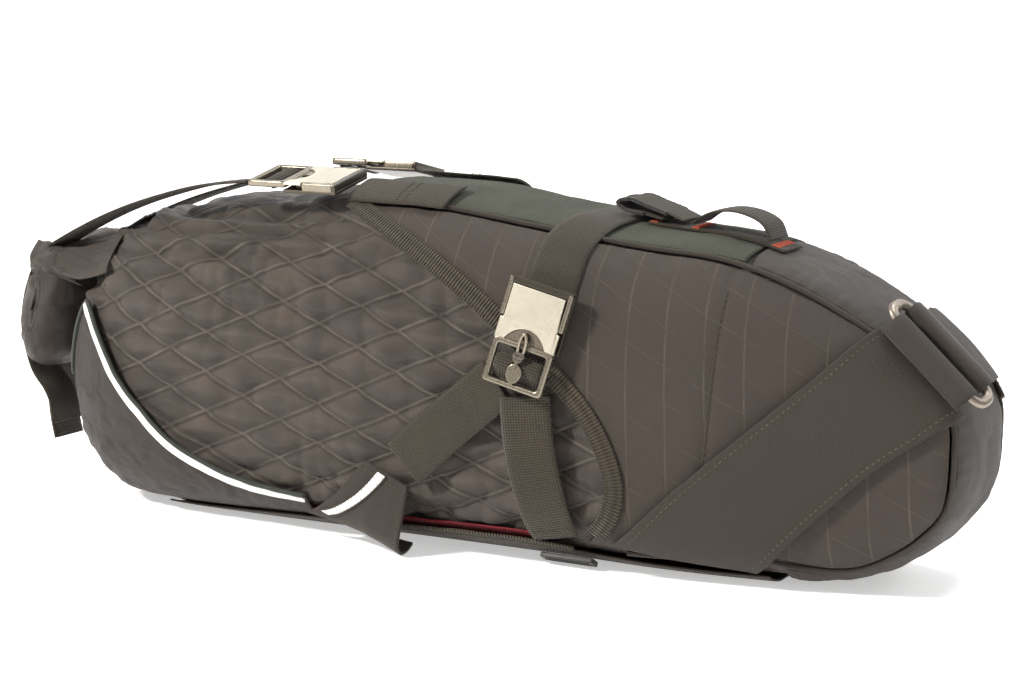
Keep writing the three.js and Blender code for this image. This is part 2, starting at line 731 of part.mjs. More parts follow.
function topFrame(sign) {
  const centre = topAt(TOP_BUCKLE.x, sign * TOP_BUCKLE.y);
  const along = new THREE.Vector3(-1, 0, 0);
  const upright = normalAt(centre).normalize().add(new THREE.Vector3(0, 0, 1)).normalize();
  const turned = frameOf(centre, along, upright, STRAP[1] + 1.2);
  return turned.multiply(new THREE.Matrix4().makeTranslation(0, -24, 0));
}

function buildBuckles() {
  for (const [side, sign] of [['right', -1], ['left', 1]]) {
    buildBuckle(`side_buckle_${side}`, sideFrame(sign), true);
    buildBuckle(`top_buckle_${side}`, topFrame(sign), false);
    const foot = sideAt(SIDE_FOOT[0] + 2, 10);
    if (sign > 0) foot.y *= -1;
    const lock = extrude(rectangle(-14, -3, 14, 4), 2.6);
    add(`ladder_lock_${side}`, 'plastic', lock, frameAt(foot, new THREE.Vector3(0, 0, -1), BUCKLE));
  }
}

// ---------------------------------------------------------------- top straps and tail
const acrossY = new THREE.Vector3(0, -1, 0);

// The straps run from the top buckles along the bag, over the roll and down behind it to the cup.
const STRAP_AHEAD = [
  [-106, 0, 170.8], [-137, 2, 166.2], [-162, 4, 159.5], [-186, 7, 151.5], [-208, 9, 142],
];
const STRAP_BEHIND = [[-244, 10, 62], [-236, 10, 52], [-232, 10, 44], [-230.5, 10, 34]];
const STRAP_Y = 30; // where it crosses the roll
const STRAP_SINK = 5; // how deep it presses into the roll

function topStrapPoints() {
  const over = [98, 122, 145, 168, 190, 210].map((a) => {
    return rollAt(STRAP_Y, THREE.MathUtils.degToRad(a), -STRAP_SINK);
  });
  const at = ([x, inset, z]) => new THREE.Vector3(x, TOP_BUCKLE.y - inset, z);
  return [...STRAP_AHEAD.map(at), ...over, ...STRAP_BEHIND.map(at)];
}

function buildTopStraps() {
  for (const [side, sign] of [['right', -1], ['left', 1]]) {
    const points = topStrapPoints().map((p) => (sign > 0 ? p : mirror(p)));
    add(`top_strap_${side}`, 'webbing', strapFree(points, WEB_W, WEB_T, 26, acrossY));
    const anchor = [-49, -32, -14, 4].map((x) => topAt(x, sign * (TOP_BUCKLE.y - 2)));
    add(`anchor_strap_${side}`, 'webbing', strapOn(anchor, WEB_W, STRAP_OVER, 14, 4));
  }
  const tail = [[-251, 59], [-254, 46], [-253, 32], [-250, 19]];
  const hang = tail.map(([x, z]) => new THREE.Vector3(x, 0, z));
  add('tail_web', 'webbing', strapFree(hang, WEB_W, 2.4, 8, acrossY));
}

// ---------------------------------------------------------------- saddle rail straps
const RAIL_Y = -6;

function buildRailStraps() {
  const lane = (list) => list.map(([x, h]) => topAt(x, RAIL_Y).add(new THREE.Vector3(0, 0, h)));
  add('rail_webbing', 'webbing', strapOn(lane([[97, 0], [118, 0], [140, 0], [166, 0]]), WEB_W, STRAP, 8));
  const flap = lane([
    [115, 5], [107, 7.6], [96, 10], [87, 11.6], [81.5, 9.3], [85, 6.9], [95, 6.4], [105, 5.3],
  ]);
  add('rail_flap', 'webbing', strapFree(flap, WEB_W, WEB_T, 18, acrossY));
  const arch = lane([[120, 4.6], [126, 9.2], [135, 12.4], [146, 13], [155, 10.6], [158.5, 4.6]]);
  add('rail_loop', 'webbing', strapFree(arch, WEB_W, WEB_T, 18, acrossY));
}

// ---------------------------------------------------------------- seat post strap and ring
// Where the wide strap meets the ring: its two corners on the skin.
const POST_LOW = new THREE.Vector3(NOSE_X - 6, -30, 86);
const POST_HIGH = new THREE.Vector3(NOSE_X - 34, -36, 133);

const RING_AHEAD = -4.5; // the ring's middle stands this far past the end of the strap

function ringFrame() {
  const mid = POST_LOW.clone().add(POST_HIGH).multiplyScalar(0.5);
  const centre = settle(mid, 0);
  const across = POST_HIGH.clone().sub(POST_LOW).normalize();
  const out = normalAt(centre).normalize();
  const x = across.addScaledVector(out, -across.dot(out)).normalize();
  const y = new THREE.Vector3().crossVectors(out, x);
  const m = new THREE.Matrix4().makeBasis(x, y, out);
  return m.setPosition(centre.addScaledVector(out, STRAP[1] + 6.6).addScaledVector(y, RING_AHEAD));
}

function ringPath(long, wide) {
  const a = (long - RING_WIRE) / 2 - RING_CORNER;
  const b = (wide - RING_WIRE) / 2 - RING_CORNER;
  const points = [];
  for (const [cx, cy, start] of [[a, b, 0], [-a, b, 90], [-a, -b, 180], [a, -b, 270]]) {
    for (const turn of [0, 30, 60, 90]) {
      const t = THREE.MathUtils.degToRad(start + turn);
      const x = cx + RING_CORNER * Math.cos(t);
      points.push(new THREE.Vector3(x, cy + RING_CORNER * Math.sin(t), 0));
    }
  }
  return points;
}

// The wide strap's end, folded round a leg of the ring: `side` is 1 at the near leg, -1 at the far one.
function postFold(side) {
  const leg = (RING_W - RING_WIRE) / 2;
  const r = RING_WIRE / 2 + GAP + 0.1;
  const round = [90, 125, 160, 200, 235, 270].map((a) => {
    const t = THREE.MathUtils.degToRad(a);
    return [leg + r * Math.cos(t), r * Math.sin(t)];
  });
  const over = [[leg + 12, -2.2], [leg + 7, 0.8], [leg + 3.5, 2.7]];
  const path = [...over, ...round, [leg + 3, -r], [leg + 6, -r - 0.6]];
  const points = path.map(([y, z]) => new THREE.Vector3(0, side * y, z));
  return strapFree(points, POST_W, 1.0, 24, new THREE.Vector3(side, 0, 0));
}

function buildPostStrap() {
  const frame = ringFrame();
  const ring = bar(ringPath(RING_L, RING_W), RING_WIRE / 2, 7, 36, true);
  add('post_ring', 'metal', ring, frame);
  add('post_fold_right', 'laminate', postFold(1), frame);
  add('post_fold_left', 'laminate', postFold(-1), frame);
  const along = (points) => points.map(([back, z]) => sideAt(NOSE_X - back, z));
  const low = curveOf([...along([[91, 11], [63, 37], [35, 64]]), POST_LOW]);
  const high = curveOf([...along([[157, 18], [117, 55], [75, 94]]), POST_HIGH]);
  const map = (u, v) => settle(low.getPointAt(u).lerp(high.getPointAt(u), v), 0);
  pair('post_strap', 'laminate', panel(map, 20, 9, STRAP.map((d) => d + 0.7)));
  const bridge = (u, v) => rayPoint(20 + 38 * v, -12 + 43 * u);
  add('post_bridge', 'laminate', panel(bridge, 10, 6, STRAP_OVER.map((d) => d + 0.8)));
}

buildDryBag();
buildRoll();
buildSidePanels();
buildTopPanel();
buildNoseGusset();
buildBase();
buildBindings();
buildTailCup();
buildAprons();
buildRimPiping();
buildWings();
buildSideStraps();
buildBuckles();
buildTopStraps();
buildRailStraps();
buildPostStrap();

const CENTRE_X = 7.3; // middle of the finished bag along X
group.position.x = -CENTRE_X;

export default group;
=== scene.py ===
"""Looks of the saddle bag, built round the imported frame. Lengths are in millimetres until make() turns them
into metres. +X points to the nose, the right side is -Y, and the floor is at z 0."""
import math

import bpy
import numpy as np
from mathutils import Matrix, Vector


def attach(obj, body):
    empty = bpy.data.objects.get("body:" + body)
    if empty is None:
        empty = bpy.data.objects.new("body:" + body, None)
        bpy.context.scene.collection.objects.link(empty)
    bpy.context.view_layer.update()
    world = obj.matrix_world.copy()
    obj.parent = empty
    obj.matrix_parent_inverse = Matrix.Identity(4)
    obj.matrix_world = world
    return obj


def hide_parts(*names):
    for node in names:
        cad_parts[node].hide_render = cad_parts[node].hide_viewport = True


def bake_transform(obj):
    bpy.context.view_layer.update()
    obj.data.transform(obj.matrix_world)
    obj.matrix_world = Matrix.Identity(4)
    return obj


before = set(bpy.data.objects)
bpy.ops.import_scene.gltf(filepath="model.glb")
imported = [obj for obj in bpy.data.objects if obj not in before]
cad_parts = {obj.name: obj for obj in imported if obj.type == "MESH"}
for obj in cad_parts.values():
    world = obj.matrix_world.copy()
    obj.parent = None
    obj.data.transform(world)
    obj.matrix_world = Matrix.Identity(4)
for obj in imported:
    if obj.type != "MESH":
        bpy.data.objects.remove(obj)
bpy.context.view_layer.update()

# ---------------------------------------------------------------- the bag's driving sizes, as in the CAD
CENTRE_X = 7.3
TAIL_X, NOSE_X, MID_Z, HALF_W, TOP_Z, NOSE_DROP, NOSE_HALF_W = -226.0, 263.0, 70.0, 78.5, 172.0, 24.0, 40.0
HINGE_X, MOUTH_X, FLOOR = -150.0, -46.0, 3.3
WEB_W, STRAP, STRAP_OVER, BUCKLE = 25.0, (2.0, 3.2), (3.6, 4.8), 5.2
PANEL = (0.4, 1.6)


# ---------------------------------------------------------------- camera and light
def camera():
    azimuth, elevation, roll = map(math.radians, (26.0, 9.0, 1.5))
    level = math.cos(elevation)
    back = Vector((math.sin(azimuth) * level, -math.cos(azimuth) * level, math.sin(elevation)))
    right = Vector((math.cos(azimuth), math.sin(azimuth), 0.0))
    up = back.cross(right)
    x = right * math.cos(roll) + up * math.sin(roll)
    y = up * math.cos(roll) - right * math.sin(roll)
    data = bpy.data.cameras.new("camera")
    data.sensor_width = 36.0
    data.lens = 91.4
    data.clip_end = 50.0
    cam = bpy.data.objects.new("camera", data)
    target, distance = Vector((0.0107, 0.0, 0.091)), 1.3
    place = Matrix((x, y, back)).transposed().to_4x4()
    place.translation = target + back * distance
    cam.matrix_world = place
    bpy.context.scene.collection.objects.link(cam)
    bpy.context.scene.camera = cam


def lamp(name, place, size, power, colour=(1, 1, 1)):
    data = bpy.data.lights.new(name, "AREA")
    data.shape = "DISK"
    data.size = size
    data.energy = power
    data.color = colour
    obj = bpy.data.objects.new(name, data)
    obj.location = place
    obj.rotation_euler = (Vector((0, 0, 0.08)) - Vector(place)).to_track_quat("-Z", "Y").to_euler()
    bpy.context.scene.collection.objects.link(obj)


def studio():
    bpy.context.scene.view_settings.view_transform = "Standard"
    lamp("key", (-1.2, -1.5, 1.5), 0.35, 74.0, (1.0, 0.95, 0.89))
    lamp("fill", (1.7, -1.5, 0.9), 1.2, 7.0, (1.0, 0.96, 0.92))
    lamp("top", (0.5, 0.6, 2.1), 0.8, 30.0)
    lamp("rim", (1.3, 1.5, 1.2), 0.8, 10.0)
    world = bpy.data.worlds.new("studio")
    world.use_nodes = True
    world.node_tree.nodes["Background"].inputs[0].default_value = (1, 1, 1, 1)
    world.node_tree.nodes["Background"].inputs[1].default_value = 0.3
    bpy.context.scene.world = world
    s = 30.0
    n = Shader("floor")
    n.finish((0.96, 0.96, 0.96, 1.0), roughness=0.9, glow=0.45)
    ground([(-s, -s, 0), (s, -s, 0), (s, s, 0), (-s, s, 0)], "floor", n.material)
    n = Shader("backdrop")
    glow = n.add("Emission", (1.0, 1.0, 1.0, 1.0), 1.6)
    n.tree.links.new(glow.outputs[0], n.add("OutputMaterial").inputs[0])
    ground([(-6.0, 3.2, -0.5), (2.0, 4.6, -0.5), (2.0, 4.6, 4.5), (-6.0, 3.2, 4.5)], "backdrop", n.material)


def ground(corners, name, material):
    me = bpy.data.meshes.new(name)
    me.from_pydata(corners, [], [(0, 1, 2, 3)])
    me.materials.append(material)
    obj = bpy.data.objects.new(name, me)
    bpy.context.scene.collection.objects.link(obj)


# ---------------------------------------------------------------- materials
def linear(rgb):
    return tuple(((c / 255 + 0.055) / 1.055) ** 2.4 if c > 10 else c / 3294.6 for c in rgb) + (1.0,)


def shade(rgb, share):
    return linear(tuple(c * share for c in rgb))


class Shader:
    """A material under construction. Textures read the named UV map, whose unit is one metre of cloth."""

    def __init__(self, name):
        self.material = bpy.data.materials.new(name)
        self.material.use_nodes = True
        self.tree = self.material.node_tree
        self.tree.nodes.clear()
        self.uv = None

    def add(self, kind, *inputs, **props):
        node = self.tree.nodes.new("ShaderNode" + kind)
        for key, value in props.items():
            setattr(node, key, value)
        for i, value in enumerate(inputs):
            if value is None:
                continue
            if isinstance(value, bpy.types.NodeSocket):
                self.tree.links.new(value, node.inputs[i])
            else:
                node.inputs[i].default_value = value
        return node

    def cloth(self):
        if self.uv is None:
            self.uv = self.add("UVMap", uv_map="cloth").outputs[0]
        return self.uv

    def math(self, operation, a, b=None, c=None):
        return self.add("Math", a, b, c, operation=operation).outputs[0]

    def noise(self, scale, detail=3.0, rough=0.55):
        node = self.add("TexNoise", self.cloth())
        node.inputs["Scale"].default_value = scale
        node.inputs["Detail"].default_value = detail
        node.inputs["Roughness"].default_value = rough
        return node.outputs[0]

    def axis(self, i):
        return self.add("SeparateXYZ", self.cloth()).outputs[i]

    def wave(self, coord, pitch):
        """Sine of the cloth coordinate, -1 to 1, once every pitch metres."""
        return self.math("SINE", self.math("MULTIPLY_ADD", coord, 2 * math.pi / pitch, 0.0))

    def off_centre(self, turn):
        """How far a coordinate is from the middle of its period, 0 to 0.5 periods."""
        return self.math("ABSOLUTE", self.math("SUBTRACT", self.math("FRACT", turn), 0.5))

    def ramp(self, value, low, high, a=0.0, b=1.0):
        node = self.add("MapRange", value, low, high, a, b)
        node.clamp = True
        return node.outputs[0]

    def mix(self, fac, a, b):
        node = self.add("Mix", data_type="RGBA")
        for socket, value in zip([node.inputs[0], node.inputs[6], node.inputs[7]], [fac, a, b]):
            if isinstance(value, bpy.types.NodeSocket):
                self.tree.links.new(value, socket)
            else:
                socket.default_value = value
        return node.outputs[2]

    def blotch(self, colour, other, noise, low, high, share):
        """Mixes in another colour where the noise is high."""
        return self.mix(self.ramp(noise, low, high, 0.0, share), colour, other)

    def finish(self, colour, roughness=0.7, bumps=(), metallic=0.0, sheen=0.0, specular=0.3, glow=0.0):
        shader = self.add("BsdfPrincipled", colour, metallic, roughness)
        shader.inputs["Sheen Weight"].default_value = sheen
        shader.inputs["Specular IOR Level"].default_value = specular
        if glow:
            shader.inputs["Emission Color"].default_value = (1.0, 1.0, 1.0, 1.0)
            shader.inputs["Emission Strength"].default_value = glow
        normal = None
        for height, distance in bumps:
            node = self.add("Bump")
            node.inputs["Strength"].default_value = 1.0
            node.inputs["Distance"].default_value = distance
            self.tree.links.new(height, node.inputs["Height"])
            if normal:
                self.tree.links.new(normal, node.inputs["Normal"])
            normal = node.outputs[0]
        if normal:
            self.tree.links.new(normal, shader.inputs["Normal"])
        out = self.add("OutputMaterial")
        self.tree.links.new(shader.outputs[0], out.inputs[0])
        return self.material


def woven(name, rgb, light, roughness=0.62, sheen=0.08, lines=()):
    """Plain woven cloth: a fine weave, soft blotches, and with lines the lighter threads of a laminate."""
    n = Shader(name)
    u, v = n.axis(0), n.axis(1)
    weave = n.math("MULTIPLY", n.wave(u, YARN), n.wave(v, YARN))
    soft = n.noise(26.0, 4.0)
    fine = n.noise(900.0, 2.0, 0.7)
    colour = n.blotch(linear(rgb), linear(light), soft, 0.32, 0.7, 0.5)
    colour = n.blotch(colour, shade(rgb, 0.72), fine, 0.3, 0.75, 0.35)
    height = n.math("MULTIPLY_ADD", fine, 0.8, weave)
    mask = None
    for slope, gap, width in lines:
        near = n.off_centre(n.math("DIVIDE", n.math("MULTIPLY_ADD", v, slope, u), gap))
        line = n.ramp(near, 0.0, width / gap, 1.0, 0.0)
        mask = line if mask is None else n.math("MAXIMUM", mask, line)
    if mask:
        patchy = n.math("MULTIPLY", mask, n.ramp(n.noise(60.0, 2.0), 0.35, 0.65, 0.15, 0.8))
        colour = n.mix(patchy, colour, linear((86, 80, 73)))
        height = n.math("MULTIPLY_ADD", mask, 1.6, height)
    rough = n.ramp(soft, 0.3, 0.7, roughness - 0.08, roughness + 0.08)
    return n.finish(colour, rough, [(height, 0.00012)], sheen=sheen)


def quilted(name, rgb, light, line):
    """Laminate quilted in diamonds, with painted shade: each diamond darker towards one side, dark painted facets,
    and a painted shadow line beside each seam. The UV's axes cross the two sets of seams, which lie QUILT apart.
    """
    n = Shader(name)
    # seam marks the lighter seam threads; under marks a painted shadow line beside each seam, on one side of it
    seam, under = None, None
    for axis, beside in ((0, 0.57), (1, 0.43)):
        turn = n.math("DIVIDE", n.axis(axis), QUILT)
        near, below = (n.off_centre(n.math("ADD", turn, offset)) for offset in (0.5, beside))
        a, b = n.ramp(near, 0.018, 0.05, 1.0, 0.0), n.ramp(below, 0.02, 0.07, 1.0, 0.0)
        seam = a if seam is None else n.math("MAXIMUM", seam, a)
        under = b if under is None else n.math("MAXIMUM", under, b)
    soft, fine = n.noise(30.0, 4.0), n.noise(900.0, 2.0, 0.7)
    colour = n.blotch(linear(rgb), linear(light), soft, 0.32, 0.7, 0.6)
    colour = n.blotch(colour, shade(rgb, 0.75), fine, 0.3, 0.75, 0.35)
    across = [n.math("FRACT", n.math("DIVIDE", n.axis(axis), QUILT)) for axis in (0, 1)]
    # dark is the painted shade colour of the three marks below
    dark = shade(rgb, 0.5)
    # painted shade: each diamond darker towards one side, as a facet turned from the light
    colour = n.mix(n.ramp(n.math("SUBTRACT", *across), -0.9, 0.9, 0.7, 0.0), colour, dark)
    # painted shade: dark blotches standing in for facets turned away from the light
    colour = n.blotch(colour, dark, n.noise(48.0, 1.0), 0.42, 0.62, 0.55)
    # painted shadow: a dark line beside each seam, as under a raised ridge
    colour = n.mix(n.math("MULTIPLY", under, 0.7), colour, dark)
    worn = n.ramp(n.noise(90.0, 2.0), 0.32, 0.68, 0.1, 0.85)
    colour = n.mix(n.math("MULTIPLY", seam, worn), colour, linear(line))
    weave = n.math("MULTIPLY", n.wave(n.axis(0), YARN), n.wave(n.axis(1), YARN))
    bumps = [(seam, 0.0005), (n.math("MULTIPLY_ADD", fine, 0.8, weave), 0.0001)]
    return n.finish(colour, n.ramp(soft, 0.3, 0.7, 0.42, 0.6), bumps, sheen=0.1)


def heather(name, rgb, light):
    """Coarse textured nylon: speckled yarns with a rough surface."""
    n = Shader(name)
    speck = n.noise(1500.0, 2.0, 0.8)
    yarn = n.math("MULTIPLY", n.wave(n.axis(0), 0.0013), n.wave(n.axis(1), 0.0011))
    colour = n.mix(n.ramp(speck, 0.35, 0.68), linear(rgb), linear(light))
    colour = n.blotch(colour, shade(rgb, 0.8), n.noise(30.0), 0.35, 0.7, 0.4)
    height = n.math("MULTIPLY_ADD", speck, 1.5, yarn)
    return n.finish(colour, 0.92, [(height, 0.00022)], sheen=0.2, specular=0.2)


def ribbed(name, rgb, light, pitch, along, grain, cross):
    """Webbing or tape: u runs along the strap. Ribs lie across it, crossed by finer yarns."""
    n = Shader(name)
    u, v = n.axis(0), n.axis(1)
    rib = n.wave(n.math("MULTIPLY_ADD", v, along, u), pitch)
    weave = n.math("MULTIPLY_ADD", n.wave(v, cross), 0.55, rib)
    fine = n.noise(700.0, 2.0, 0.7)
    colour = n.mix(n.ramp(weave, -1.2, 1.2), shade(rgb, 0.62), linear(light))
    colour = n.blotch(colour, linear(rgb), fine, 0.35, 0.7, 0.45)
    colour = n.blotch(colour, shade(rgb, 0.75), n.noise(40.0), 0.35, 0.7, 0.3)
    height = n.math("MULTIPLY_ADD", fine, 0.4, weave)
    return n.finish(colour, 0.82, [(height, grain)], sheen=0.12, specular=0.25)


def metal(name, rgb, dark, roughness, grain=0.00006):
    n = Shader(name)
    fine = n.noise(1100.0, 3.0, 0.7)
    edge = n.ramp(n.add("NewGeometry").outputs["Pointiness"], 0.5, 0.56)
    colour = n.blotch(linear(rgb), linear(dark), n.noise(120.0, 4.0, 0.6), 0.35, 0.7, 0.5)
    colour = n.mix(edge, colour, linear(tuple(min(255, c * 1.15) for c in rgb)))
    rough = n.ramp(fine, 0.3, 0.75, roughness - 0.08, roughness + 0.12)
    return n.finish(colour, rough, [(fine, grain)], metallic=0.85, specular=0.5)


def plain(name, rgb, roughness, scale, grain, sheen=0.0):
    n = Shader(name)
    fine = n.noise(scale, 3.0, 0.65)
    colour = n.blotch(linear(rgb), shade(rgb, 0.7), fine, 0.3, 0.75, 0.5)
    return n.finish(colour, roughness, [(fine, grain)], sheen=sheen, specular=0.4)


def thread(name, rgb):
    n = Shader(name)
    twist = n.wave(n.math("ADD", n.axis(0), n.axis(1)), 0.0006)
    colour = n.mix(n.ramp(twist, -1, 1), shade(rgb, 0.6), linear(rgb))
    return n.finish(colour, 0.75, [(twist, 0.00008)], sheen=0.1)


camera()
studio()
GRID = [(0.05, 0.018, 0.0007), (1.9, 0.031, 0.0006)]  # slope, gap and width of a laminate's threads
YARN, QUILT = 0.0007, 0.0181
MAT = {
    "quilt": quilted("quilt cloth", (74, 65, 58), (90, 80, 71), (94, 85, 76)),
    "roll": woven("roll cloth", (58, 51, 46), (72, 65, 58), roughness=0.5, sheen=0.1),
    "laminate": woven("laminate cloth", (58, 50, 44), (70, 61, 54), lines=GRID),
    "smooth": woven("smooth cloth", (50, 43, 37), (62, 54, 47)),
    "cup": woven("cup cloth", (44, 38, 35), (57, 50, 46)),
    "green": heather("green cloth", (24, 30, 14), (56, 64, 36)),
    "webbing": ribbed("webbing", (48, 43, 34), (74, 66, 53), 0.0012, 0.0, 0.0002, 0.0014),
    "twill": ribbed("twill webbing", (50, 45, 36), (78, 71, 58), 0.0013, 1.0, 0.0002, 0.0013),
    "tape": ribbed("ribbed tape", (46, 40, 31), (78, 69, 54), 0.0016, 0.0, 0.0004, 0.005),
    "reflective": plain("reflective tape", (246, 246, 242), 0.42, 300.0, 0.00006),
    "binding": ribbed("green binding", (48, 54, 48), (66, 72, 64), 0.0009, 0.0, 0.0001, 0.003),
    "lining": woven("red lining", (110, 8, 22), (135, 14, 30)),
    "plastic": plain("moulded plastic", (46, 45, 43), 0.5, 800.0, 0.00008),
    "metal": metal("buckle metal", (124, 117, 104), (98, 92, 82), 0.3, 0.00002),
    "plate": metal("plate metal", (196, 190, 174), (178, 172, 156), 0.36, 0.00001),
    "gunmetal": metal("dark metal", (70, 65, 58), (48, 44, 40), 0.32),
    "ring": metal("ring metal", (128, 120, 110), (98, 92, 84), 0.42),
    "thread": thread("thread", (116, 107, 92)),
    "dark thread": thread("dark thread", (78, 72, 61)),
    "orange": thread("orange thread", (240, 110, 75)),
    "fuzz": plain("hook and loop", (34, 33, 31), 0.95, 2500.0, 0.0006, sheen=0.3),
    "cord": thread("pull cord", (120, 114, 100)),
}


# ---------------------------------------------------------------- the filled shape, as in the CAD
def through(*stations):
    """Monotone cubic curve through (x, value) stations."""
    xs, ys = np.array(stations, float).T
    h = np.diff(xs)
    slope = np.diff(ys) / h
    a = np.concatenate([slope[:1], slope])
    b = np.concatenate([slope, slope[-1:]])
    tangent = np.where(a * b > 0, 2 * a * b / np.where(a + b == 0, 1, a + b), 0.0)

    def at(x):
        x = np.asarray(x, float)
        i = np.clip(np.searchsorted(xs, x, side="left") - 1, 0, len(h) - 1)
        t = np.clip((x - xs[i]) / h[i], 0, 1)
        low = ys[i] * (1 + 2 * t) * (1 - t) ** 2 + h[i] * tangent[i] * t * (1 - t) ** 2
        return low + ys[i + 1] * t * t * (3 - 2 * t) - h[i] * tangent[i + 1] * t * t * (1 - t)
    return at


def rounded(x, start, end, power):
    t = np.clip((x - start) / (end - start), 0, 1)
    return np.maximum(1 - t ** power, 0) ** (1 / power)


top_line = through((TAIL_X, 150), (HINGE_X, 163), (-105, 170), (-60, 172), (-15, 172), (60, 164), (110, 159),
                   (NOSE_X - 100, 156), (NOSE_X, TOP_Z - NOSE_DROP))
width_line = through((TAIL_X, HALF_W - 1), (-100, HALF_W), (55, HALF_W), (100, HALF_W - 3), (150, HALF_W - 11.5),
                     (NOSE_X - 60, NOSE_HALF_W + 14), (NOSE_X, NOSE_HALF_W))
upper_power = through((TAIL_X, 2.6), (-60, 2.9), (100, 3.0), (200, 4.0), (NOSE_X, 4.0))
lower_power = through((TAIL_X, 2.8), (-130, 3.8), (60, 3.4), (150, 4.2), (NOSE_X, 4.0))


def section(x):
    up = (top_line(x) - MID_Z) * rounded(x, HINGE_X, TAIL_X, 2.4) * rounded(x, 130, NOSE_X, 1.8)
    down = (MID_Z - FLOOR + 0.8) * rounded(x, HINGE_X - 20, TAIL_X, 2.0) * rounded(x, 185, NOSE_X, 2.2)
    half = width_line(x) * rounded(x, -120, TAIL_X, 2.4) * rounded(x, NOSE_X - 14, NOSE_X, 2.5)
    return np.maximum(up, 1e-6), np.maximum(down, 1e-6), np.maximum(half, 1e-6), upper_power(x), lower_power(x)


def stack(x, y, z):
    return np.stack(np.broadcast_arrays(x, y, z), axis=-1).astype(float)


def skin(x, angle):
    """Point of the skin at x and angle: 0 keel, pi/2 right side, pi top, 3pi/2 left side."""
    up, down, half, upper, lower = section(x)
    c, w = np.cos(angle), np.sin(angle)
    power = np.where(c < 0, upper, lower)
    y = -half * np.sign(w) * np.abs(w) ** (2 / power)
    z = MID_Z + np.where(c < 0, up, -down) * np.abs(c) ** (2 / power)
    return stack(x, y, z)


def part_of(x, z):
    """Half width, height above or below the middle, and power of the section's curve at x and z."""
    up, down, half, upper, lower = section(x)
    above = np.asarray(z) > MID_Z
    return half, np.where(above, up, down), np.where(above, upper, lower)


def angle_of(p):
    half, reach, power = part_of(p[..., 0], p[..., 2])
    c = (np.abs(p[..., 2] - MID_Z) / reach) ** (power / 2)
    w = (np.abs(p[..., 1]) / half) ** (power / 2)
    a = np.arctan2(w, np.where(p[..., 2] > MID_Z, -c, c))
    return np.where(p[..., 1] > 0, 2 * math.pi - a, a)


def field(p):
    half, reach, power = part_of(np.clip(p[..., 0], TAIL_X + 0.5, NOSE_X - 0.5), p[..., 2])
    rise = np.abs((p[..., 2] - MID_Z) / reach) ** power
    return (np.abs(p[..., 1] / half) ** power + rise) ** (1 / power) - 1


def gradient(p):
    g = np.empty_like(p)
    for i in range(3):
        d = np.zeros(3)
        d[i] = 0.25
        g[..., i] = (field(p + d) - field(p - d)) / 0.5
    return g


def unit(v):
    return v / np.maximum(np.linalg.norm(v, axis=-1, keepdims=True), 1e-9)


def lift(p, distance):
    """Points moved out from the skin, kept above the floor."""
    q = p + outward(p) * np.asarray(distance)[..., None]
    q[..., 2] = np.maximum(q[..., 2], FLOOR - np.asarray(distance))
    return q


def settle(p, distance=0.0):
    q = np.array(p, float)
    for _ in range(12):
        g = gradient(q)
        q -= g * (field(q) / np.sum(g * g, axis=-1))[..., None]
    return lift(q, distance) if np.any(distance) else q


def outward(p):
    return unit(gradient(p))


def side_at(x, z):
    half, reach, power = part_of(x, z)
    rise = np.minimum(1, np.abs(z - MID_Z) / reach)
    return stack(x, -half * (1 - rise ** power) ** (1 / power), z)


def top_at(x, y):
    up, _, half, upper, _ = section(x)
    across = np.minimum(1, np.abs(y) / half)
    return stack(x, y, MID_Z + up * (1 - across ** upper) ** (1 / upper))


def distances(q):
    """Distance along a path to each of its points."""
    return np.concatenate([[0], np.cumsum(np.linalg.norm(np.diff(q, axis=0), axis=1))])


def between(at, places, values):
    """Rows of values looked up at at, where the rows lie at the given places."""
    return np.stack([np.interp(at, places, values[:, k]) for k in range(values.shape[1])], axis=-1)


def spline(points, count):
    """Centripetal Catmull-Rom through points, as count points equally far apart."""
    p = np.array(points, float)
    p = np.vstack([2 * p[0] - p[1], p, 2 * p[-1] - p[-2]])
    t = np.concatenate([[0], np.cumsum(np.linalg.norm(np.diff(p, axis=0), axis=1) ** 0.5)])
    out = []
    for i in range(1, len(p) - 2):
        s = np.linspace(t[i], t[i + 1], 40, endpoint=i == len(p) - 3)[:, None]

        def blend(j, step, a, b):
            return (t[j + step] - s) / (t[j + step] - t[j]) * a + (s - t[j]) / (t[j + step] - t[j]) * b
        a = [blend(j, 1, p[j], p[j + 1]) for j in (i - 1, i, i + 1)]
        b = [blend(j, 2, a[k], a[k + 1]) for k, j in enumerate((i - 1, i))]
        out.append(blend(i, 1, *b))
    q = np.vstack(out)
    run = distances(q)
    return between(np.linspace(0, run[-1], count), run, q)


def tangents(q):
    return unit(np.gradient(q, axis=0))


# ---------------------------------------------------------------- noise
PERM = np.tile(np.random.RandomState(11).permutation(256), 3)


def noise(x, y, seed=0):
    """Gradient noise, about -1 to 1."""
    x, y = np.broadcast_arrays(np.asarray(x, float), np.asarray(y, float))
    xi, yi = np.floor(x).astype(int), np.floor(y).astype(int)
    xf, yf = x - xi, y - yi
    u, v = xf * xf * xf * (xf * (xf * 6 - 15) + 10), yf * yf * yf * (yf * (yf * 6 - 15) + 10)

    def corner(i, j):
        a = PERM[(PERM[(xi + i + 37 * seed) & 255] + yi + j) & 255] * (2 * math.pi / 256)
        return np.cos(a) * (xf - i) + np.sin(a) * (yf - j)
    low = corner(0, 0) * (1 - u) + corner(1, 0) * u
    high = corner(0, 1) * (1 - u) + corner(1, 1) * u
    return (low * (1 - v) + high * v) * 1.4


def crumple(x, y, size, seed=0):
    """Sharp creases between flat facets, 0 to about 1."""
    a = np.abs(noise(x / size, y / size, seed))
    b = np.abs(noise(x / size * 1.9 + 5, y / size * 1.9, seed + 1)) * 0.5
    return a + b


def bell(t, width):
    return np.exp(-(t / width) ** 2)


def smooth(t, a, b):
    t = np.clip((t - a) / (b - a), 0, 1)
    return t * t * (3 - 2 * t)


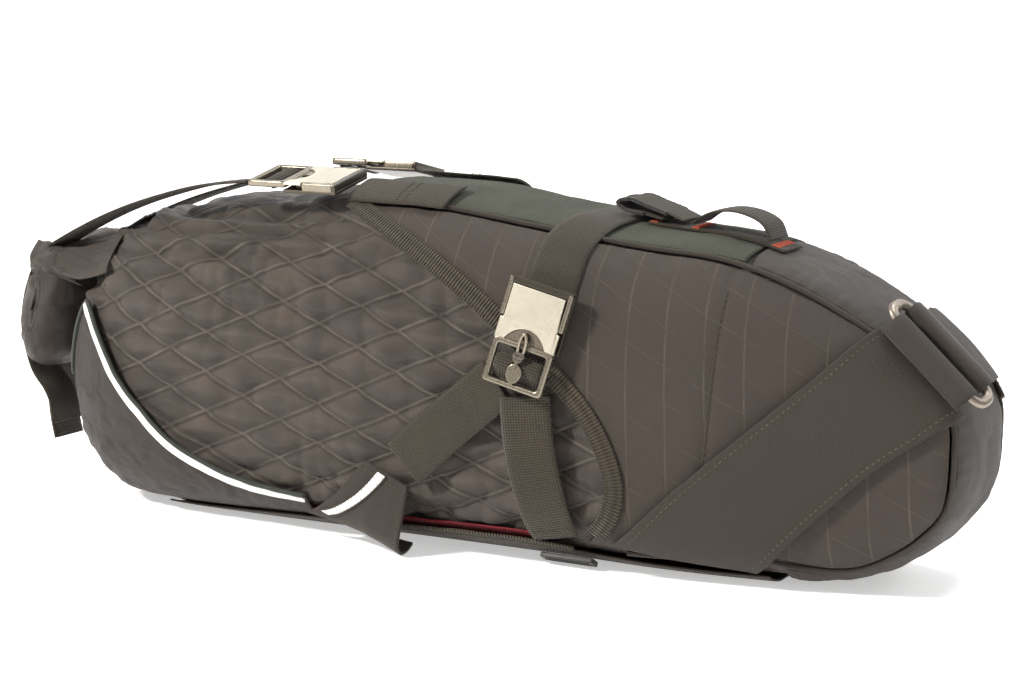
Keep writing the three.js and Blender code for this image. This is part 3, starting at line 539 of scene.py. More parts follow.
# ---------------------------------------------------------------- meshes
def make(name, verts, faces, material, uv=None, body="harness", slot=None, replaces=(), flat=False):
    verts = (np.asarray(verts, float).reshape(-1, 3) - (CENTRE_X, 0, 0)) / 1000
    me = bpy.data.meshes.new(name)
    me.from_pydata(verts.tolist(), [], [tuple(f) for f in faces])
    if uv is None:
        uv = verts[:, [0, 2]]
    else:
        uv = np.asarray(uv, float).reshape(-1, 2) / 1000
    layer = me.uv_layers.new(name="cloth")
    index = np.empty(len(me.loops), int)
    me.loops.foreach_get("vertex_index", index)
    layer.data.foreach_set("uv", uv[index].ravel())
    me.materials.append(MAT[material])
    me.validate()
    if not flat:
        me.shade_smooth()
    obj = bpy.data.objects.new(name, me)
    bpy.context.scene.collection.objects.link(obj)
    if replaces:
        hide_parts(*replaces)
    if isinstance(body, str):
        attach(obj, body)
    else:
        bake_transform(obj)
    return obj


def grid_faces(rows, cols, start=0, wrap=False, flip=False):
    i, j = np.meshgrid(np.arange(rows - 1), np.arange(cols if wrap else cols - 1), indexing="ij")
    i, j = i.ravel(), j.ravel()
    k = (j + 1) % cols
    f = np.stack([i * cols + j, i * cols + k, (i + 1) * cols + k, (i + 1) * cols + j], axis=1) + start
    return f[:, ::-1] if flip else f


def lengths(grid):
    """UV in millimetres of cloth: distance along rows of the middle column, and along columns."""
    mid = grid[:, grid.shape[1] // 2]
    u = distances(mid)
    row = grid[grid.shape[0] // 2]
    v = distances(row)
    return np.stack(np.meshgrid(u, v, indexing="ij"), axis=-1)


def slab(name, outer, inner, material, uv=None, **kw):
    """A closed sheet between an outer and an inner grid of points."""
    rows, cols = outer.shape[:2]
    n = rows * cols
    uv = lengths(outer) if uv is None else uv
    at = np.arange(n).reshape(rows, cols)
    rim = np.concatenate([at[0, :-1], at[:-1, -1], at[-1, :0:-1], at[:0:-1, 0]])
    after = np.roll(rim, -1)
    faces = np.vstack([grid_faces(rows, cols, 0, flip=True), grid_faces(rows, cols, n),
                       np.stack([rim, after, after + n, rim + n], axis=1)])
    verts = np.vstack([outer.reshape(-1, 3), inner.reshape(-1, 3)])
    mid = (rows // 2, cols // 2)
    du = outer[mid[0] + 1, mid[1]] - outer[mid]
    dv = outer[mid[0], mid[1] + 1] - outer[mid]
    if np.dot(np.cross(dv, du), outer[mid] - inner[mid]) < 0:
        faces = faces[:, ::-1]
    flat_uv = np.vstack([uv.reshape(-1, 2)] * 2)
    return make(name, verts, faces.tolist(), material, flat_uv, **kw)


def tube(name, rings, material, uv=None, closed=False, **kw):
    """A stack of closed rings, capped, or joined end to end."""
    rings = np.asarray(rings, float)
    rows, cols = rings.shape[:2]
    if uv is None:
        uv = lengths(np.concatenate([rings, rings[:, :1]], axis=1))[:, :cols]
    faces = grid_faces(rows, cols, wrap=True).tolist()
    if closed:
        last = (rows - 1) * cols
        faces += [[last + j, last + (j + 1) % cols, (j + 1) % cols, j] for j in range(cols)]
    else:
        faces += [list(range(cols))[::-1], [(rows - 1) * cols + j for j in range(cols)]]
    p = rings.reshape(-1, 3)
    v = 0.0
    for f in faces[: (rows - 1) * cols]:
        v += np.dot(p[f[0]], np.cross(p[f[1]], p[f[2]])) + np.dot(p[f[0]], np.cross(p[f[2]], p[f[3]]))
    if v < 0:
        faces = [f[::-1] for f in faces]
    return make(name, p, faces, material, uv, **kw)


def rod(name, path, radius, material, sides=10, closed=False, squash=1.0, up=None, **kw):
    """A bar of round section along path; squash flattens it along up."""
    q = np.asarray(path, float)
    t = unit(np.roll(q, -1, 0) - np.roll(q, 1, 0)) if closed else tangents(q)
    up = np.broadcast_to(np.array(up if up is not None else (0.13, 0.21, 0.97), float), q.shape)
    x = unit(np.cross(up, t))
    y = np.cross(t, x)
    a = np.arange(sides) * 2 * math.pi / sides
    radius = np.broadcast_to(np.asarray(radius, float), (len(q),))[:, None, None]
    round_x, round_y = np.cos(a)[None, :, None] * x[:, None], np.sin(a)[None, :, None] * y[:, None]
    rings = q[:, None] + radius * (round_x + squash * round_y)
    return tube(name, rings, material, closed=closed, **kw)


def same(p):
    return p


def mirrored(p):
    return np.asarray(p) * (1, -1, 1)


SIDES = (("right", same), ("left", mirrored))


STITCHES = {}


def stitch(path, normal, body="harness", colour="thread", length=2.0, gap=1.1, radius=0.28, sink=0.12):
    """Notes a run of stitches along path, lying on the cloth; they are made together at the end."""
    q = np.asarray(path, float)
    run = distances(q)
    normal = np.broadcast_to(normal, q.shape)
    for s in np.arange(0.4, run[-1] - length, length + gap):
        ends = [between(w, run, q) for w in (s, s + length / 2, s + length)]
        up = unit(between(s, run, normal))
        ends[0] = ends[0] - up * (sink + radius)
        ends[2] = ends[2] - up * (sink + radius)
        ends[1] = ends[1] + up * radius * 0.5
        STITCHES.setdefault((body, colour), []).append((ends, up, radius))


def sew():
    for (body, colour), runs in STITCHES.items():
        verts, faces, uvs = [], [], []
        for ends, up, radius in runs:
            q = np.array([ends[0], ends[0] * 0.55 + ends[1] * 0.45 + up * radius * 0.5, ends[1],
                          ends[2] * 0.55 + ends[1] * 0.45 + up * radius * 0.5, ends[2]])
            t = unit(ends[2] - ends[0])
            x = np.cross(up, t)
            size = np.array([0.5, 0.95, 1.0, 0.95, 0.5]) * radius
            start = len(verts)
            for k in range(5):
                for a in np.arange(5) * 2 * math.pi / 5:
                    verts.append(q[k] + size[k] * (math.cos(a) * x + math.sin(a) * up))
                    uvs.append((k * 0.5, a * radius))
            faces += (grid_faces(5, 5, start, wrap=True, flip=True)).tolist()
            faces += [[start + j for j in range(5)], [start + 20 + j for j in range(4, -1, -1)]]
        tag = colour.replace(" ", "_")
        make(f"stitches_{body}_{tag}", verts, faces, colour, uvs, body=body, slot="webbing")


# ---------------------------------------------------------------- seam lines, as in the CAD
EYE = np.array((190.0, 0.0, MID_Z))
seam_width = through((-150, 62), (-115, 57), (-90, 49), (-60, 40), (-10, 37), (20, 37), (60, 39), (88, 42),
                     (112, 44), (156, 45))
SEAM_GAP, GUSSET_TOP, GUSSET_END = 1.7, 112.0, -95.0
MOUTH = [(MOUTH_X, 163), (-24, 155), (8, 141), (35, 126), (56, 112), (79, 94), (95, 77), (105, 59), (109, 43),
         (106, 31), (99, 22), (91, 16)]


def ray_point(degrees, y):
    """The skin in a direction from EYE (degrees from +X, up), at the given y."""
    degrees, y = np.broadcast_arrays(np.asarray(degrees, float), np.asarray(y, float))
    a = np.radians(degrees)
    low, high = np.zeros(a.shape), np.full(a.shape, 460.0)
    for _ in range(40):
        mid = (low + high) / 2
        p = stack(EYE[0] + mid * np.cos(a), y, EYE[2] + mid * np.sin(a))
        outside = (p[..., 0] > NOSE_X - 0.5) | (p[..., 0] < TAIL_X + 0.5) | (field(p) > 0)
        high = np.where(outside, mid, high)
        low = np.where(outside, low, mid)
    return stack(EYE[0] + low * np.cos(a), y, EYE[2] + low * np.sin(a))


def seam_point(degrees, apart=0.0):
    return ray_point(degrees, -seam_width(degrees) - apart)


mouth_curve = spline(side_at(*np.array(MOUTH, float).T), 400)
sole_half = through((HINGE_X, 52), (-60, 60), (60, 62), (90, 59), (130, 54), (176, 46))


def sole_edge(x):
    _, down, half, _, lower = section(x)
    y = sole_half(x)
    z = MID_Z - down * (1 - (y / half) ** lower) ** (1 / lower)
    return angle_of(stack(x, -y, z))


def hoop(x, count):
    """Points of the skin round the section at each x, equally far apart, and how far round its mid level is."""
    quarter = np.linspace(0, 1, 1600) * 4
    wide = np.abs(quarter % 1 - 0.5) * 2
    bunched = np.sign(quarter % 1 - 0.5) * 0.5 * (1 - (1 - wide) ** 2.2)
    angle = 2 * math.pi * (np.floor(quarter) + 0.5 + bunched) / 4
    angle[-1] = 2 * math.pi
    out = np.empty((len(x), count, 3))
    level = np.empty((len(x), 1))
    for i, value in enumerate(x):
        p = skin(np.full(angle.shape, value), angle)
        run = distances(p)
        level[i] = np.interp(math.pi / 2, angle, run)
        out[i] = between(run[-1] * np.linspace(0, 1, count, endpoint=False), run, p)
    return out, level


# ---------------------------------------------------------------- dry bag
def quilt_height(x, t):
    """Stitched diamonds, with facets and creases between their lines."""
    p, q = lattice(x, t)
    seams = 0
    for value in (p, q):
        d = ((value + 0.5) % 1 - 0.5) / 0.0551
        seams = seams + 0.45 * bell(d, 0.9) - 0.9 * bell(d - 1.2, 2.4) - 0.35 * bell(d + 1.6, 2.4)
    lp, lq = p % 1, q % 1
    puff = np.sin(math.pi * lp) * np.sin(math.pi * lq)
    tilt = noise(np.floor(p) * 0.71, np.floor(q) * 0.63 + 9, 3)
    other = noise(np.floor(p) * 0.83 + 4, np.floor(q) * 0.57, 4)
    across = np.abs(lp - lq) - 0.3
    upright = np.abs(noise(x / 17 + 3, t / 60, 7)) * (0.4 + smooth(np.abs(t), 0, 70))
    facets = 1.6 * puff + 9.5 * tilt * puff * (lp - lq) + 5.0 * other * puff * across
    return seams * 1.4 + facets + 3.0 * upright


def lattice(x, t):
    """Coordinates across the two sets of quilting seams; whole numbers lie on a seam."""
    wander = 0.05 * noise(x / 40, t / 30, 5)
    return x / 43.0 + t / 20.0 + 0.25 + wander, x / 43.0 - t / 20.0 + 0.1 - wander


def dry_bag():
    tail_end, hidden = 12 * np.linspace(0, 1, 16) ** 2.2, np.linspace(116, 234, 24)
    body = np.arange(TAIL_X + 13.5, 114, 1.15)
    x = np.concatenate([TAIL_X + 0.35 + tail_end, body, hidden])
    p, level = hoop(x, 460)
    girth = np.linalg.norm(np.diff(p, axis=1, append=p[:, :1]), axis=2)
    run = np.cumsum(girth, axis=1) - girth / 2
    total = girth.sum(axis=1, keepdims=True)
    half = np.minimum(run, total - run)
    t = half - level
    xx, z = p[..., 0], p[..., 2]
    mx, mz = np.array(MOUTH[::-1], float).T
    edge = np.where(z > 160, MOUTH_X + 3, np.interp(z, mz, mx))
    free = smooth(edge - xx, 2, 16) * smooth(z, 6, 16)
    shift = np.where(p[..., 1] < 0, 0.0, 500.0)  # so that the two sides differ
    h = quilt_height(xx + shift, t) * (1 - 0.65 * smooth(z, 134, 158))
    low = smooth(-t, 20, 60)
    h = h + (1.6 * crumple(xx + shift, t * 1.2, 24, 21) - 0.6) * (0.35 + 0.65 * low) * smooth(-xx, -90, 60)
    h = h + 1.1 * (crumple(xx + shift, t, 40, 31) - 0.4) * smooth(-xx, 60, 190)
    folds = [(150, 0.030, 5.2, 4.2), (139, 0.055, 3.6, 3.6), (159, 0.02, 4.6, 3.4), (129, 0.085, 2.6, 3.0)]
    for z0, slope, depth, width in folds:
        line = z0 + slope * (xx + 100) + 2.2 * noise(xx / 46, z0, 13)
        grown, fade, gone = (-170, -60, -20) if z0 > 130 else (-190, -150, -110)
        reach = smooth(xx, -222, grown) * (1 - smooth(xx, fade, gone))
        h = h - depth * bell(z - line, width) * reach + 0.35 * depth * bell(z - line - 6, 4.5) * reach
    tail = smooth(-xx, 196, 222)
    h = h + tail * (2.0 * noise(np.arctan2(p[..., 1], z - 95) * 4, xx / 40, 41) - 1.5)
    d = -1.0 - 2.2 * free + free * h - 5.0 * smooth(z, 148, 162) * free * smooth(-xx, 60, 90)
    rim = np.where(xx < -57, rim_line(np.clip(xx, -195, -57)) - 6 * smooth(-xx, 195, 226), 0.0)
    bare = smooth(z - rim, -3, 4)
    outer = lift(p, np.minimum(1.6, d) * bare - 1.9 * (1 - bare))
    uv = np.stack(lattice(xx + shift, t), axis=-1) * 18.1
    bag = tube("dry_bag_quilted", outer, "quilt", uv, body="dry_bag", slot="quilt", replaces=("dry_bag",))


ROLL_HALF = 54.0


def roll_at(y, angle, grow=0.0):
    swell = np.maximum(1 - np.minimum(1, np.abs(y) / ROLL_HALF) ** 3.2, 0) ** (1 / 2.6) + 0.02
    deep = (20 * swell + grow) * np.cos(angle)
    high = (37 * swell ** 0.6 + grow) * np.sin(angle)
    return stack(-235 + deep + 0.2 * high, y, 99 + high)


def roll():
    k = np.sin(np.linspace(-1, 1, 130) * math.pi / 2)
    y = (ROLL_HALF + 1.5) * k[:, None] * 0.995
    a = np.linspace(0, 2 * math.pi, 150, endpoint=False)[None, :]
    p = roll_at(y, a)
    centre = roll_at(y, a, -9.0)
    out = unit(p - centre + 1e-6)
    end = smooth(np.abs(y), 26, 52)
    groove = 0.0
    for at, depth, width, slant in [(2.62, 7.5, 0.17, 0.0045), (3.6, 3.2, 0.12, -0.004), (1.75, 3.6, 0.14, 0.006),
                                    (4.3, 2.6, 0.15, 0.003), (2.1, 2.2, 0.1, -0.006)]:
        centre_line = at - slant * np.abs(y) + 0.10 * noise(y / 22, at * 7, 51)
        groove = groove - depth * bell(a - centre_line, width) * (0.55 + 0.45 * end)
    ripple = 1.8 * noise(a * 2.3, y / 30, 61) + 2.2 * (crumple(a * 14, y, 13, 71) - 0.5) * (0.5 + 0.5 * end)
    strap = bell(np.abs(y) - 30, 13) ** 0.5 * smooth(np.sin(a), -0.9, -0.2)
    girth = np.maximum(1 - np.minimum(1, np.abs(y) / ROLL_HALF) ** 3.2, 0) ** (1 / 2.6)
    h = (groove + ripple) * (0.15 + 0.85 * girth) - 5.6 * strap
    p = p + out * np.clip(h, -12, 1.4)[..., None]
    front = -216.0
    p[..., 0] = np.where(p[..., 0] > front, front + (p[..., 0] - front) * 0.3, p[..., 0])
    uv = np.stack(np.broadcast_arrays(a * 27, y), axis=-1)
    tube("roll_folded", p, "roll", uv, body="dry_bag", slot="quilt", replaces=("roll_closure",))


def roll_neck():
    """The gathered cloth between the bag's end and the roll."""
    u, v = np.meshgrid(np.linspace(0, 1, 60), np.linspace(-1, 1, 160), indexing="ij")
    start = top_at(np.full(v.shape, -188.0), 56 * v)
    start = lift(start, -0.6)
    end = roll_at(50 * v, 1.15 + 0.25 * v ** 2, -2.0)
    sag = np.sin(math.pi * u) * (3.0 + 3.0 * np.abs(v) ** 3)
    fold = 2.6 * np.abs(noise(v * 7, u * 1.2, 231)) + 1.4 * np.abs(noise(v * 15, u * 2.0, 233))
    p = start * (1 - u[..., None]) + end * u[..., None]
    p[..., 2] -= sag - fold * np.sin(math.pi * (0.15 + 0.8 * u)) + 2.0
    inner = p - stack(0.0, 0.0, 1.4)
    slab("roll_neck", p, inner, "roll", body="dry_bag", slot="quilt")


def roll_ears():
    """The two ends of the rolled mouth, folded over into flat ears."""
    u, v = np.meshgrid(np.linspace(0, 1, 40), np.linspace(0, 1, 26), indexing="ij")
    x = -242 + 26 * u + 4 * v
    z = 131 - 9 * u ** 2 - 22 * v + 9 * u * v + 1.2 * noise(u * 5, v * 4, 81)
    bow = 13 * np.sin(math.pi * v * 0.9) * (0.55 + 0.45 * np.sin(math.pi * (0.2 + 0.7 * u)))
    outer = stack(x, -(40 + bow + 1.6 * noise(u * 4, v * 5, 83)), z)
    inner = outer - stack(0.0, -2.2, 0.8)
    for side, m in SIDES:
        slab(f"roll_ear_{side}", m(outer), m(inner), "roll", body="dry_bag", slot="quilt")


# ---------------------------------------------------------------- sewn shell
def smooth_rows(count, cols, crop=0.0):
    return np.meshgrid(np.linspace(crop, 1 - crop, count), np.linspace(crop, 1 - crop, cols), indexing="ij")


def seam_inner(degrees):
    p = seam_point(degrees, SEAM_GAP)
    return np.stack([p[..., 0], angle_of(p)], axis=-1)


def side_panel_point(u, v):
    """Coons patch between the mouth and the seam, in (x, angle)."""
    end = MOUTH[-1]
    low_start = math.degrees(math.atan2(end[1] - 6 - MID_Z, end[0] - EYE[0]))

    def bottom(t): return seam_inner(low_start + (-62 - low_start) * t)
    def top(t): return seam_inner(155.5 + (62 - 155.5) * t)
    def right(t): return seam_inner(-62 + 124 * t)

    def left(t):
        s = (1 - np.asarray(t, float)) * (len(mouth_curve) - 1)
        p = between(s, np.arange(len(mouth_curve)), mouth_curve)
        return np.stack([p[..., 0], angle_of(p)], axis=-1)
    u1, v1 = u[:, :1], v[:1, :]
    b, t = bottom(u1[:, 0])[:, None], top(u1[:, 0])[:, None]
    l, r = left(v1[0])[None], right(v1[0])[None]
    uu, vv = u[..., None], v[..., None]
    corners = (1 - uu) * (1 - vv) * bottom(0.0) + uu * (1 - vv) * bottom(1.0)
    corners = corners + (1 - uu) * vv * top(0.0) + uu * vv * top(1.0)
    q = (1 - vv) * b + vv * t + (1 - uu) * l + uu * r - corners
    return skin(q[..., 0], q[..., 1])


def side_panels():
    u, v = smooth_rows(170, 110, 0.004)
    p = side_panel_point(u, v)
    x, z = p[..., 0], p[..., 2]
    seed = 0.9 * (crumple(x + 2 * z, z, 36, 91) - 0.4) * (0.35 + 0.65 * smooth(z, 110, 150))
    pucker = 0.5 * noise(x / 9, z / 40, 93) * bell(v - 1, 0.14)
    dent = -0.8 * bell(x - 150 - 0.06 * (z - 70), 2.5) * smooth(z, 8, 20)
    h = np.clip(seed + pucker + dent, -1.0, 0.8)
    uv = np.stack([x, z], axis=-1)
    outer, inner = lift(p, PANEL[1] + h), lift(p, PANEL[0] + np.minimum(h, 0.2) - 0.2)
    for side, m in SIDES:
        slab(f"side_panel_{side}_cloth", m(outer), m(inner), "laminate", uv, slot="laminate",
             replaces=(f"side_panel_{side}",))
    zs = np.linspace(26, 139, 60)
    line = side_at(150 + 0.06 * (zs - 70), zs)
    raised = lift(line, PANEL[1] - 0.2)
    for _, m in SIDES:
        stitch(m(raised), m(outward(line)), colour="dark thread")


def top_panel():
    u, v = smooth_rows(150, 74)
    x = MOUTH_X + 2 + (ray_point(GUSSET_TOP, 0.0)[..., 0] - 2 - MOUTH_X) * u
    a = np.degrees(np.arctan2(top_at(x, 0.0)[..., 2] - MID_Z, x - EYE[0]))
    half = seam_width(a) - SEAM_GAP
    p = top_at(x, -half + 2 * half * v)
    h = 0.7 * noise(x / 30, p[..., 1] / 22, 101) + 0.35 * noise(x / 11, p[..., 1] / 30, 102)
    uv = np.stack([x, p[..., 1]], axis=-1)
    slab("top_panel_cloth", lift(p, PANEL[1] + np.clip(h, -0.8, 0.4)), lift(p, PANEL[0] - 0.3), "green",
         uv, slot="green", replaces=("top_panel",))


def nose_gusset():
    u, v = smooth_rows(190, 80)
    degrees = GUSSET_TOP - 1 + (GUSSET_END - GUSSET_TOP + 1) * u
    half = seam_width(degrees) - SEAM_GAP
    y = -half + 2 * half * v
    p = ray_point(degrees, y)
    edge = 1 - np.abs(2 * v - 1)
    gather = 1.1 * np.abs(noise(degrees / 5.5, v * 2.0, 111)) * bell(edge, 0.5)
    h = gather + 0.8 * (crumple(degrees * 1.6, y, 26, 113) - 0.4) - 0.5
    uv = np.stack([degrees * 1.6, y], axis=-1)
    slab("nose_gusset_cloth", lift(p, PANEL[1] + np.clip(h, -0.9, 0.9)), lift(p, PANEL[0] - 0.3), "smooth",
         uv, slot="laminate", replaces=("nose_gusset",))


def seams():
    degrees = np.linspace(154, -144, 300)
    p = seam_point(degrees)
    radius = 1.35 + 0.12 * noise(degrees / 3, 0.5, 121)
    for side, m in SIDES:
        rod(f"seam_ridge_{side}", m(lift(p, 1.5)), radius, "smooth", 10, up=m(outward(p)), slot="laminate",
            replaces=(f"seam_piping_{side}",))


def sheet_under(width, length, count):
    """Points under the bag, over parts of the base's half width (of 12) and of its length (of 18)."""
    u, v = smooth_rows(count, 90)
    x = HINGE_X + 0.6 + (176 - HINGE_X - 0.6) * u * length / 18
    return skin(x, sole_edge(x) * (2 * v - 1) * width / 12), x


def base():
    p, x = sheet_under(12, 18, 160)
    slab("base_panel_cloth", lift(p, 3.3), lift(p, 2.4), "smooth", p[..., :2], slot="laminate",
         replaces=("base_panel",))
    p, x = sheet_under(8, 12, 60)
    slab("base_stiffener_sheet", lift(p, 1.9), lift(p, 1.3), "plastic", p[..., :2],
         slot="plastic", replaces=("base_stiffener",))
    p, x = sheet_under(14, 12, 110)
    wavy = 0.25 * noise(x / 12, p[..., 1] / 12, 131)
    slab("base_lining_cloth", lift(p, 0.8 + wavy), lift(p, 0.35 + wavy), "lining", p[..., :2], slot="lining",
         replaces=("base_lining",))
    x = np.linspace(-40, 84, 120)
    edge = skin(x, sole_edge(x) + 0.035)
    q = lift(edge, 3.7 + 0.35 * noise(x / 14, 0.3, 133))
    for side, m in SIDES:
        ribbon(f"base_tape_{side}", m(q), m(outward(edge)), 6.2, 1.5, "tape", slot="tape",
               replaces=(f"base_binding_{side}",))


def ribbon(name, path, normal, width, thickness, material, cols=9, taper=1.0, bulge=0.0, across=None, **kw):
    """A flat strap of rounded section: path is its middle, normal its outward side."""
    q = np.asarray(path, float)
    t = tangents(q)
    n = unit(np.broadcast_to(normal, q.shape).astype(float))
    x = unit(np.cross(n, t)) if across is None else unit(np.broadcast_to(across, q.shape).astype(float))
    n = unit(np.cross(t, x))
    half = width / 2 * (np.ones(len(q)) * taper)
    k = np.linspace(-1, 1, cols)
    crown = bulge * (1 - k ** 2)
    edge = 1 + 0.35 / width
    ring_k = np.concatenate([k, [edge], k[::-1], [-edge]])
    rounding = 0.25 * thickness * np.abs(k) ** 10
    ring_h = np.concatenate([thickness / 2 - rounding + crown, [0.0], -thickness / 2 + rounding, [0.0]])
    rings = q[:, None] + (half[:, None] * ring_k)[..., None] * x[:, None] + ring_h[None, :, None] * n[:, None]
    run = distances(q)
    uv = np.stack(np.broadcast_arrays(run[:, None], ring_k[None] * width / 2 + 3.0), axis=-1)
    return tube(name, rings, material, uv, **kw)


def strap_on(name, points, width, layer, material, count=70, cols=11, wave=0.0, seed=0, sides=SIDES, nodes=None,
             slot="webbing"):
    """A strap lying on the skin along points given on the right side; its rows follow the skin."""
    curve = settle(spline(settle(np.array(points, float)), count))
    x = unit(np.cross(outward(curve), tangents(curve)))
    k = np.linspace(-0.5, 0.5, cols)
    rows = settle(curve[:, None] + (k * width)[None, :, None] * x[:, None])
    flat = np.abs(2 * k) ** 12 * 0.35
    bend = wave * noise(np.linspace(0, count / 12, count), 0.5, seed)[:, None]
    outer = lift(rows, layer[1] - flat[None, :] + bend)
    inner = lift(rows, layer[0] + flat[None, :] * 0.5 + np.minimum(bend, 0))
    uv = np.stack(np.broadcast_arrays(distances(curve)[:, None], (k * width)[None, :] + 3.0), axis=-1)
    for side, m in sides:
        tag = f"_{side}" if len(sides) > 1 else ""
        slab(f"{name}_strap{tag}", m(outer), m(inner), material, uv, slot=slot,
             replaces=tuple(n + tag for n in nodes or (name,)))
    return curve, x


def rows_of_stitches(curve, x, at, half, distance):
    """Rows of stitches across a strap, at the given fractions of its length."""
    for f in at:
        c, a = (between(f * (len(curve) - 1), np.arange(len(curve)), v) for v in (curve, x))
        line = settle(c + np.linspace(-half, half, 12)[:, None] * a)
        up = outward(line)
        for _, m in SIDES:
            stitch(m(line + up * distance), m(up), colour="dark thread", length=1.8, gap=0.9, radius=0.24)


# ---------------------------------------------------------------- tail cup
RIM = [(-195, 104), (-187, 96), (-178, 84), (-168, 71), (-150, 55), (-133, 42), (-109, 31), (-86, 25), (-57, 22)]
rim_line = through(*RIM)
BEND_BODY = ("harness", "tail_cup", ((HINGE_X + 8 - CENTRE_X) / 1000, 0, 0.03),
             ((HINGE_X - 12 - CENTRE_X) / 1000, 0, 0.03))


def cup_edge(x):
    rim = angle_of(side_at(x, rim_line(np.maximum(x, -195.0))))
    peak = float(angle_of(side_at(-195.0, 104.0)))
    k = smooth(-195 - x, 0, -195 - TAIL_X)
    return np.where(x >= -195, rim, peak * (1 - k) + 1.35 * k)


def cup():
    x = np.concatenate([TAIL_X + 0.9 + 9 * np.linspace(0, 1, 12) ** 2, np.arange(TAIL_X + 11, -56, 1.5)])
    v = np.linspace(-1, 1, 300)
    angle = cup_edge(x)[:, None]
    mid = np.sign(v) * np.abs(v) ** 1.25
    p = skin(np.broadcast_to(x[:, None], (len(x), len(v))), angle * mid[None, :])
    xx, z = p[..., 0], p[..., 2]
    edge = 1 - np.abs(v)[None, :]
    flank = smooth(np.abs(p[..., 1]), 20, 60)
    wrinkle = 2.4 * (crumple(xx * 0.8 - z * 0.7, (xx + z) * 0.55, 22, 141) - 0.5)
    wrinkle = wrinkle + 1.0 * (crumple(xx, z * 1.4, 11, 151) - 0.5)
    h = wrinkle * smooth(edge, 0.0, 0.08) * flank * (0.55 + 0.45 * smooth(-xx, 120, 190))
    back = smooth(-xx, 150, 165)
    outer_d = 1.6 * back + 1.75 * (1 - back)
    behind = smooth(-xx, 140, 152)
    beside = smooth(np.abs(angle * mid) / sole_edge(np.maximum(xx, HINGE_X + 1)), 1.02, 1.14)
    shown = behind + (1 - behind) * beside
    outer = lift(p, outer_d + np.clip(h, -0.7, 2.2) * shown - 0.6 * (1 - shown))
    inner = lift(p, outer_d - 0.9 + np.clip(h, -0.2, 2.2) * shown - 0.4 * (1 - shown))
    uv = np.stack([xx, z + p[..., 1]], axis=-1)
    slab("cup_cloth", outer, inner, "cup", uv, body=BEND_BODY, slot="laminate",
         replaces=("tail_cup", "cup_apron_right", "cup_apron_left"))


def cup_trim():
    xs = np.linspace(-195, -57.5, 260)
    line = settle(spline(side_at(xs, rim_line(xs)), 260))
    n = outward(line)
    t = tangents(line)
    out = unit(np.cross(t, n))
    out = out * np.sign(out[:, 2:3])
    wob = 0.5 * noise(xs / 9, 0.7, 161)[:, None]
    white = lift(line - out * (2.2 - wob * 0.5), 3.0 + 0.3 * noise(xs / 7, 0.2, 163))
    dark = lift(line + out * (0.6 + 0.3 * wob), 3.0 + 0.35 * noise(xs / 8, 0.4, 165))
    grow = np.interp(xs, [-195, -190, -80, -57.5], [0.6, 1.0, 1.0, 0.55])
    for side, m in SIDES:
        ribbon(f"rim_stripe_{side}", m(white), m(n), 4.3, 0.8, "reflective", taper=grow, body=BEND_BODY,
               slot="reflective", replaces=(f"rim_piping_{side}", f"apron_piping_{side}"))
        rod(f"rim_binding_{side}", m(dark), 1.15, "binding", 8, up=m(n), body=BEND_BODY, slot="tape")
    xs = np.linspace(-195, TAIL_X + 1.2, 60)
    line = skin(xs, cup_edge(xs))
    for side, m in SIDES:
        rod(f"cup_hem_{side}", m(lift(line, 2.4)), 1.2, "binding", 8, up=m(outward(line)), body="tail_cup",
            slot="tape")


# ---------------------------------------------------------------- wings
def wing_points(u, v):
    """Points of the folded wing: u from its flat rear to its open front, v from its top round the fold."""
    front = [(-81.3, 34), (-84, 22), (-87, 11), (-87.5, 5), (-84, 1.6), (-77, 1.6), (-71, 4)]
    rear = [(-78.5, 30), (-78, 26), (-77.2, 22.5), (-76.2, 19.5), (-75.2, 17), (-74.2, 15), (-73.2, 13.2)]
    a, b = spline(rear, 200), spline(front, 200)
    a, b = (between(v, np.linspace(0, 1, 200), c) for c in (a, b))
    p = a + (b - a) * (u ** 0.9)[..., None]
    x = (-21 - 35 * v) * (1 - u) + (4 - 2 * v) * u
    return stack(x, p[..., 0], p[..., 1] + (1 - v) ** 2 * 14 * (1 - u))


